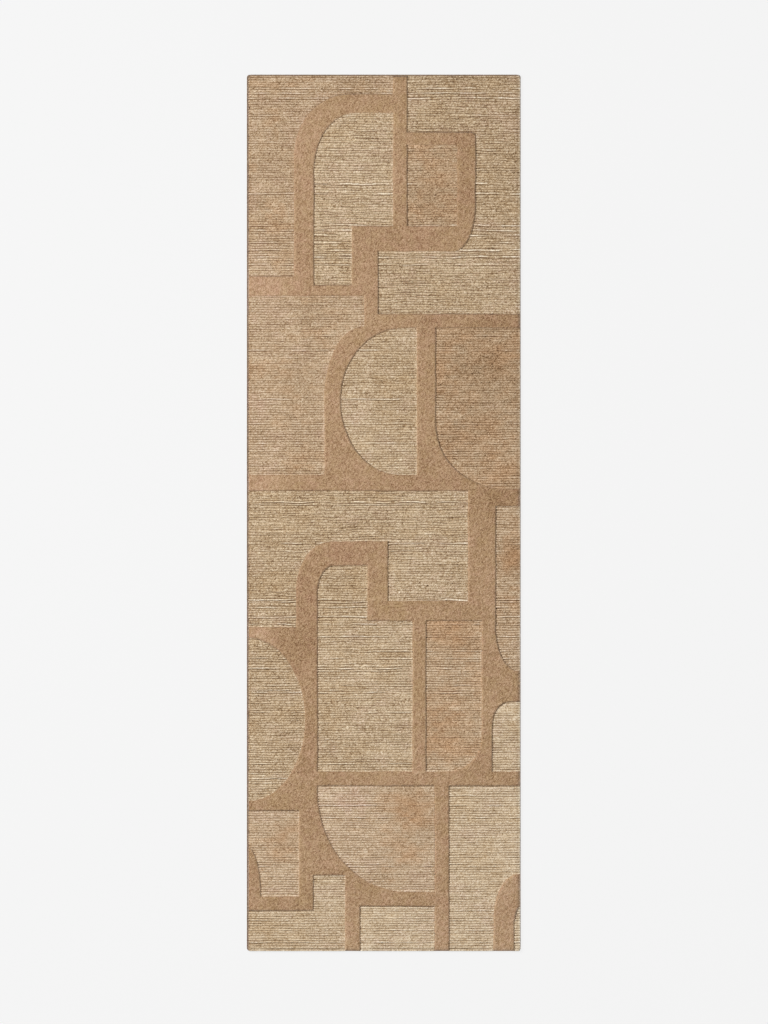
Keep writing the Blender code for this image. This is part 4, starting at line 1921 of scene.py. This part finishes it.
CUT_PILES = (
    CutPile(
        "cut_pile_network",
        shade=0.02,
        patches=(
            Patch(-0.33, 0.63, 0.07, shade=0.2, ochre=-0.5),
            Patch(-0.2, 0.9, 0.1, shade=0.06, ochre=-0.2),
            Patch(-0.24, 1.08, 0.07, shade=0.04, ochre=-0.2),
            Patch(-0.13, 0.5, 0.06, shade=0.05, ochre=-0.2),
            Patch(-0.34, 0.08, 0.07, shade=0.16, ochre=-0.3),
            Patch(-0.35, -0.335, 0.04, shade=0.18, ochre=-0.2),
            Patch(0.15, 0.53, 0.07, shade=-0.08, ochre=-0.3),
            Patch(0.32, 0.53, 0.08, shade=-0.2, ochre=-0.3),
            Patch(0.32, 0.04, 0.07, shade=-0.22, ochre=-0.1),
            Patch(0.1, 0.1, 0.08, shade=-0.08),
            Patch(0.23, 1.02, 0.05, shade=-0.12),
            Patch(0.24, 0.88, 0.06, shade=-0.14, ochre=-0.2),
            Patch(0.08, 0.75, 0.08, shade=-0.1, ochre=-0.2),
            Patch(-0.1, -0.1, 0.07, shade=-0.1, ochre=-0.4),
            Patch(-0.22, -0.2, 0.07, shade=-0.12, ochre=-0.2),
            Patch(-0.22, -0.36, 0.07, shade=-0.2, ochre=-0.1),
            Patch(-0.22, -0.6, 0.1, shade=-0.08),
            Patch(0.05, -0.28, 0.1, shade=0.02, ochre=0.1),
            Patch(0.1, -0.45, 0.1, shade=0.04, ochre=0.2),
            Patch(0.1, -0.74, 0.14, shade=0.05),
            Patch(0.3, -0.55, 0.08, shade=0.08, ochre=0.1),
            Patch(0.16, -0.95, 0.1, shade=0.08, ochre=-0.1),
            Patch(-0.1, -1.16, 0.06, shade=0.18, ochre=-0.2),
            Patch(0.16, -1.16, 0.06, shade=0.18, ochre=-0.2),
        ),
    ),
    CutPile(
        "cut_pile_corner_arc",
        shade=0.16,
        patches=(
            Patch(0.35, -1.1, 0.15, ochre=-0.3),
        ),
    ),
)

CLOTHS = (
    BackingCloth("primary_backing", Dye.FOUNDATION, "latex_coat", carries_pile=True),
    BackingCloth("latex_coat", Dye.LATEX, "secondary_backing"),
    BackingCloth("secondary_backing", Dye.BACKING, "floor"),
)

# The same edge yarn on all four sides: the right and bottom strips are painted lighter, a painted
# highlight against the pile's shade there, and the left and top strips are darker.
EDGES = (
    OvercastEdge("binding_left", shade=-0.05),
    OvercastEdge("binding_top", shade=0.15),
    OvercastEdge("binding_right", shade=0.6),
    OvercastEdge("binding_bottom", shade=0.7),
)


def build_rug(frame: dict) -> None:
    """Builds every piece of the rug and dresses it.

    Args:
        frame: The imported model's frame.
    """
    wardrobe = Wardrobe()
    nodes = frame["nodes"]
    for loops in LOOP_FIELDS:
        piece = loops.build(nodes[loops.node])
        wardrobe.dress(piece, loops.dye, loops.node)
    for band in CUT_PILES:
        piece = band.build(nodes[band.node])
        wardrobe.dress(piece, Dye.CUT, band.node)
    for edge in EDGES:
        piece = edge.build()
        wardrobe.dress(piece, Dye.EDGE, edge.node)
    for cloth in CLOTHS:
        piece = cloth.build()
        wardrobe.dress(piece, cloth.dye, cloth.node)


def main() -> None:
    """Loads the frame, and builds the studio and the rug."""
    logging.basicConfig(level=logging.INFO, format="%(message)s")
    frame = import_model()
    Studio().build()
    build_rug(frame)


if __name__ == "__main__":
    main()
